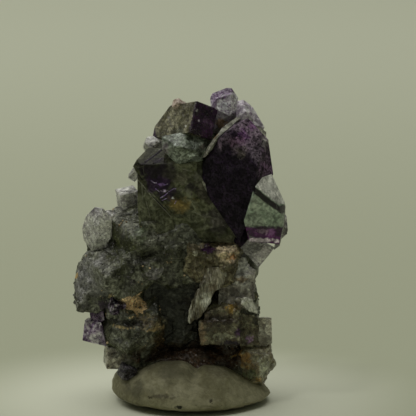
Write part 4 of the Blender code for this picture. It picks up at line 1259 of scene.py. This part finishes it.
set_in_place(grown_together(
    "pale_column", [
        block(*COLUMN_UPPER), block(*COLUMN_LOWER), block(*COLUMN_LEFT),
        crystal((7.0, -1.6, 13.6), COLUMN_TURN, cube={"all": 1.6, "+z": 2.5, "-z": 2.8}, octa=2.9),
    ], grain=0.11, steps=((COLUMN_TURN, 0.6, 0.14),), swell=((0.9, 0.16), (0.4, 0.06)),
), fluorite(
    "lavender grey fluorite", (0.36, 0.33, 0.29), (0.85, 0.83, 0.78), (0.26, 0.20, 0.165),
    (0.05, 0.03, 0.03), sizes=(1.8, 0.5, 0.22), strength=(0.9, 0.4, 0.7), specks=0.3,
    shards=(0.9, 0.35, 0.1), glitter=(0.28, 0.35, 0.25), relief=0.03, glass=0.2, rough=(0.12, 0.4),
    patches=(
        ((7.7, -3.2, 16.4), 1.5, (0.80, 0.80, 0.80), 0.8, 0.6, (1.2, 0.4, 0.8)),
        ((5.8, -4.2, 15.6), 0.8, (0.60, 0.46, 0.30), 0.8, 0.6, (0.8, 0.4, 1.4)),
        ((9.0, -3.2, 13.6), 0.9, (0.10, 0.075, 0.085), 0.7, 0.6, (1.4, 0.4, 0.7)),
        ((5.9, -4.4, 13.2), 1.7, (0.20, 0.18, 0.16), 0.85, 0.8, (1.0, 0.4, 0.8)),
        ((6.8, -4.4, 11.9), 0.9, (0.34, 0.25, 0.11), 0.85, 0.7, DEEP),
        ((7.6, -4.0, 15.4), 0.7, (0.36, 0.24, 0.12), 0.7, 0.6, (0.6, 0.4, 1.6)),
    ),
))
set_in_place(grown_together(
    "ledge", [block(*LEDGE), block(*LEDGE_STEP), block(*BESIDE_LEDGE)], grain=0.10,
    steps=(((14, 9, -6), 0.8, 0.14),), swell=((0.9, 0.12), (0.4, 0.05)),
), fluorite(
    "brownish ledge fluorite", (0.085, 0.078, 0.044), (0.30, 0.29, 0.19), (0.130, 0.085, 0.042),
    (0.03, 0.02, 0.015), sizes=(1.6, 0.5, 0.22), strength=(0.9, 0.6, 0.7), specks=0.35,
    shards=(0.9, 0.4, 0.1), glitter=(0.28, 0.35, 0.25), relief=0.03, glass=0.2, rough=(0.12, 0.4),
    cracks=(0.8, 0.04, 0.5, (0.42, 0.39, 0.30)),
    patches=(
        ((6.2, -5.6, 12.2), 0.8, (0.42, 0.27, 0.06), 0.9, 0.6, DEEP),
        ((7.4, -6.0, 10.4), 0.5, (0.85, 0.85, 0.85), 1.0, 0.6, (1.4, 0.4, 0.6)),
        ((7.5, -6.0, 9.4), 0.9, (0.085, 0.025, 0.11), 0.95, 0.5, DEEP),
        ((6.4, -6.1, 7.9), 1.1, (0.018, 0.008, 0.024), 0.95, 0.5, (0.7, 0.4, 1.6)),
        ((5.2, -6.2, 8.9), 0.9, (0.42, 0.42, 0.30), 0.85, 0.6, (0.6, 0.4, 1.6)),
        ((2.7, -5.9, 9.2), 1.0, (0.34, 0.24, 0.14), 0.85, 0.6, (1.4, 0.4, 0.6)),
        ((4.6, -5.8, 10.9), 1.6, (0.050, 0.034, 0.020), 0.9, 0.4, (0.4, 0.4, 2.6)),
        ((9.2, -3.0, 10.0), 0.8, (0.030, 0.028, 0.016), 0.9, 0.6, DEEP),
        ((8.5, -3.4, 8.0), 0.6, (0.36, 0.22, 0.40), 0.8, 0.6, DEEP),
    ),
))
set_in_place(grown_together(
    "white_knob", [block(*WHITE_KNOB)], grain=0.07, swell=((0.6, 0.16), (0.3, 0.05)),
), fluorite(
    "white quartz", (0.70, 0.70, 0.62), (0.95, 0.95, 0.88), (0.52, 0.50, 0.42), (0.30, 0.26, 0.20),
    sizes=(1.2, 0.5, 0.2), glass=0.0, rough=(0.2, 0.5), relief=0.04,
))
set_in_place(as_piece("right_cubes", [
    block(*RIGHT_CUBE),
    crystal((9.7, -0.8, 6.4), (26, 10, -8), cube=1.05, steps=3, seed=2),
    crystal((-7.6, -1.9, 5.2), (12, 10, 5), cube={"all": 1.25, "+z": 1.5}, steps=3, seed=4),
]), fluorite(
    "clear brownish fluorite", (0.60, 0.57, 0.46), (0.90, 0.88, 0.78), (0.36, 0.29, 0.24),
    (0.10, 0.06, 0.06), sizes=(1.4, 0.5, 0.22), strength=(0.9, 0.6, 0.6), shards=(0.9, 0.35, 0.08),
    glitter=(0.3, 0.3, 0.2), glass=0.5, rough=(0.08, 0.3), relief=0.02,
    absorb=((0.8, 0.77, 0.68), 40), cracks=(0.9, 0.03, 0.5, (0.7, 0.68, 0.58)),
))
set_in_place(grown_together(
    "low_green_crystal", [crystal((8.8, -1.8, 4.4), LOW_TURN, cube=2.2, octa=2.6)], grain=0.1,
    steps=((LOW_TURN, 0.7, 0.14),), swell=((0.8, 0.14), (0.4, 0.05)),
), fluorite(
    "rust-stained green fluorite", (0.19, 0.17, 0.095), (0.38, 0.38, 0.26), (0.21, 0.14, 0.07),
    (0.08, 0.05, 0.025), sizes=(1.4, 0.45, 0.22), strength=(0.9, 0.5, 0.6), shards=(0.9, 0.35, 0.1),
    glitter=(0.28, 0.35, 0.25), glass=0.2, rough=(0.12, 0.4), relief=0.03,
    patches=(
        ((7.4, -4.2, 5.6), 1.6, (0.42, 0.24, 0.08), 0.9, 0.6, DEEP),
        ((10.2, -3.6, 4.6), 1.3, (0.55, 0.57, 0.42), 0.8, 0.6, (1.3, 0.4, 0.8)),
        ((9.6, -4.2, 2.9), 0.8, (0.62, 0.40, 0.14), 0.9, 0.6, DEEP),
        ((8.6, -4.2, 3.8), 1.0, (0.20, 0.24, 0.13), 0.8, 0.6, DEEP),
    ),
))
set_in_place(as_piece("dark_low_cube", [
    crystal((-6.2, -4.9, 3.9), (35, 10, 25), cube=0.8, steps=3, seed=4),
]), fluorite(
    "black fluorite", (0.02, 0.016, 0.024), (0.13, 0.12, 0.13), (0.03, 0.025, 0.035),
    (0.008, 0.008, 0.008), sizes=(0.8, 0.3, 0.2), shards=(0.5, 0.5, 0.3), glitter=(0.25, 0.5, 0.5),
    glass=0.1, rough=(0.08, 0.25), relief=0.03,
))


# The holder: a pat of grey-olive mineral tack, kneaded by hand, so it is smooth with thumb
# creases, small dents and a few dark crumbs in it, flat below, and pressed round the foot.
# Painted shade darkens its left side and two creases at the front, and the painted shadow of
# the cluster darkens its top.
TACK_MIDDLE = Vector((1.3, -1.2, 0.0))
TACK_WIDTH = 19.4
TACK_DEPTH = 18.4
TACK_WAIST = 1.2
TACK_RISE = 4.2
TACK_UNDER = 1.7
TACK_LEAN = 0.2
TACK_ROLLS = ((1.0, -0.26, 0.33), (0.6, 0.40, 0.22))  # height, middle, width
TACK_NOTCH = (0.7, 0.11, 0.07)
TACK_FRONT = (-0.52, 0.28)
TACK_DENTS = ((2.4, 0.14), (0.9, 0.06), (0.35, 0.025))  # size, depth
TACK_PRESSED = 0.15
CREASE_SIZE, CREASE_DEPTH, CREASE_WIDTH = 3.1, 0.13, 0.05
FOLD_SIZE, FOLD_DEPTH, FOLD_WIDTH = (1.3, 2.0, 0.8), 0.09, 0.035


def hump(place, middle, width):
    """A soft round hump, 1 high, at its middle."""
    return math.exp(-((place - middle) / width) ** 2)


tack_form = bmesh.new()
bmesh.ops.create_uvsphere(tack_form, u_segments=200, v_segments=110, radius=1.0)
for vert in tack_form.verts:
    across, along, rise = vert.co
    round_out = 1.0 + 0.025 * math.sin(3 * math.atan2(along, across) + 0.6)
    if rise > 0:
        roll = sum(height * hump(across, middle, width) for height, middle, width in TACK_ROLLS)
        height, middle, width = TACK_NOTCH
        roll -= height * hump(across, middle + 0.1 * along, width)
        rise = TACK_RISE * rise ** (1.15 + 0.5 * across) + roll * hump(along, *TACK_FRONT)
    else:
        rise = TACK_UNDER * rise
    vert.co.x = across * round_out * TACK_WIDTH / 2
    vert.co.y = along * round_out * TACK_DEPTH / 2
    vert.co.z = rise + TACK_WAIST - TACK_LEAN * across
    vert.co += TACK_MIDDLE
bmesh.ops.recalc_face_normals(tack_form, faces=tack_form.faces[:])
tack_form.normal_update()
for vert in tack_form.verts:
    dent = sum(height * noise.noise(vert.co / size) for size, height in TACK_DENTS)
    crease = abs(noise.noise(vert.co / CREASE_SIZE + Vector((7, 1, 3))))
    fold = Vector([a / b for a, b in zip(vert.co, FOLD_SIZE)]) + Vector((2, 5, 9))
    fold = abs(noise.noise(fold))
    dent -= CREASE_DEPTH * max(0.0, 1 - crease / CREASE_WIDTH)
    dent -= FOLD_DEPTH * max(0.0, 1 - fold / FOLD_WIDTH)
    vert.co += vert.normal * (dent - TACK_PRESSED)
    vert.co.z = max(vert.co.z, 0.0)
    vert.co *= MM
tack_mesh = bpy.data.meshes.new("putty_pat")
tack_form.to_mesh(tack_mesh)
tack_form.free()
tack_mesh.shade_smooth()
putty_pat = bpy.data.objects.new("putty_pat", tack_mesh)
bpy.context.collection.objects.link(putty_pat)
putty = fluorite(
    "mineral tack", (0.18, 0.170, 0.095), (0.31, 0.295, 0.19), (0.17, 0.155, 0.090),
    (0.07, 0.06, 0.035), sizes=(3.2, 0.6, 0.20), strength=(0.8, 0.16, 0.6), specks=0.2,
    shards=(1.6, 0.03, 0.0), glitter=(0.3, 0.07, 0.0), glass=0.0, rough=(0.55, 0.8), relief=0.05,
    shine=0.3,
    patches=(
        # painted shade: the left side of the tack, darker
        ((-6.0, -8.0, 3.2), 3.4, (0.085, 0.08, 0.046), 0.85, 0.9, (1.0, 0.4, 1.0)),
        # painted shadow of the cluster: the next two, over the top of the tack
        ((-1.0, -6.8, 5.4), 3.6, (0.085, 0.08, 0.046), 0.75, 0.9, (0.8, 0.4, 1.6)),
        ((5.0, -7.0, 5.0), 2.6, (0.11, 0.10, 0.06), 0.6, 0.9, (0.8, 0.4, 1.6)),
        ((2.2, -8.4, 4.8), 0.42, (0.015, 0.015, 0.01), 1.0, 0.5, DEEP),
        ((0.1, -10.3, 1.3), 0.42, (0.02, 0.02, 0.012), 1.0, 0.5, (0.7, 0.4, 1.6)),
        ((3.9, -9.8, 1.9), 0.30, (0.04, 0.035, 0.02), 0.9, 0.5, DEEP),
        ((-3.6, -9.6, 2.2), 0.35, (0.05, 0.045, 0.025), 0.9, 0.5, (0.6, 0.4, 1.6)),
        ((-1.3, -10.0, 2.9), 0.30, (0.42, 0.36, 0.22), 0.9, 0.5, DEEP),
        ((7.6, -8.2, 3.2), 0.35, (0.36, 0.30, 0.16), 0.8, 0.5, (0.6, 0.4, 1.6)),
        # painted shade: the next two, in the creases at the front left
        ((-2.4, -10.0, 2.4), 0.9, (0.07, 0.06, 0.035), 0.8, 0.8, (0.4, 0.4, 2.0)),
        ((-2.0, -10.4, 2.6), 0.5, (0.09, 0.08, 0.05), 0.5, 0.7, (0.5, 1, 1.4)),
    ),
)
set_in_place(putty_pat, putty, "putty_base")
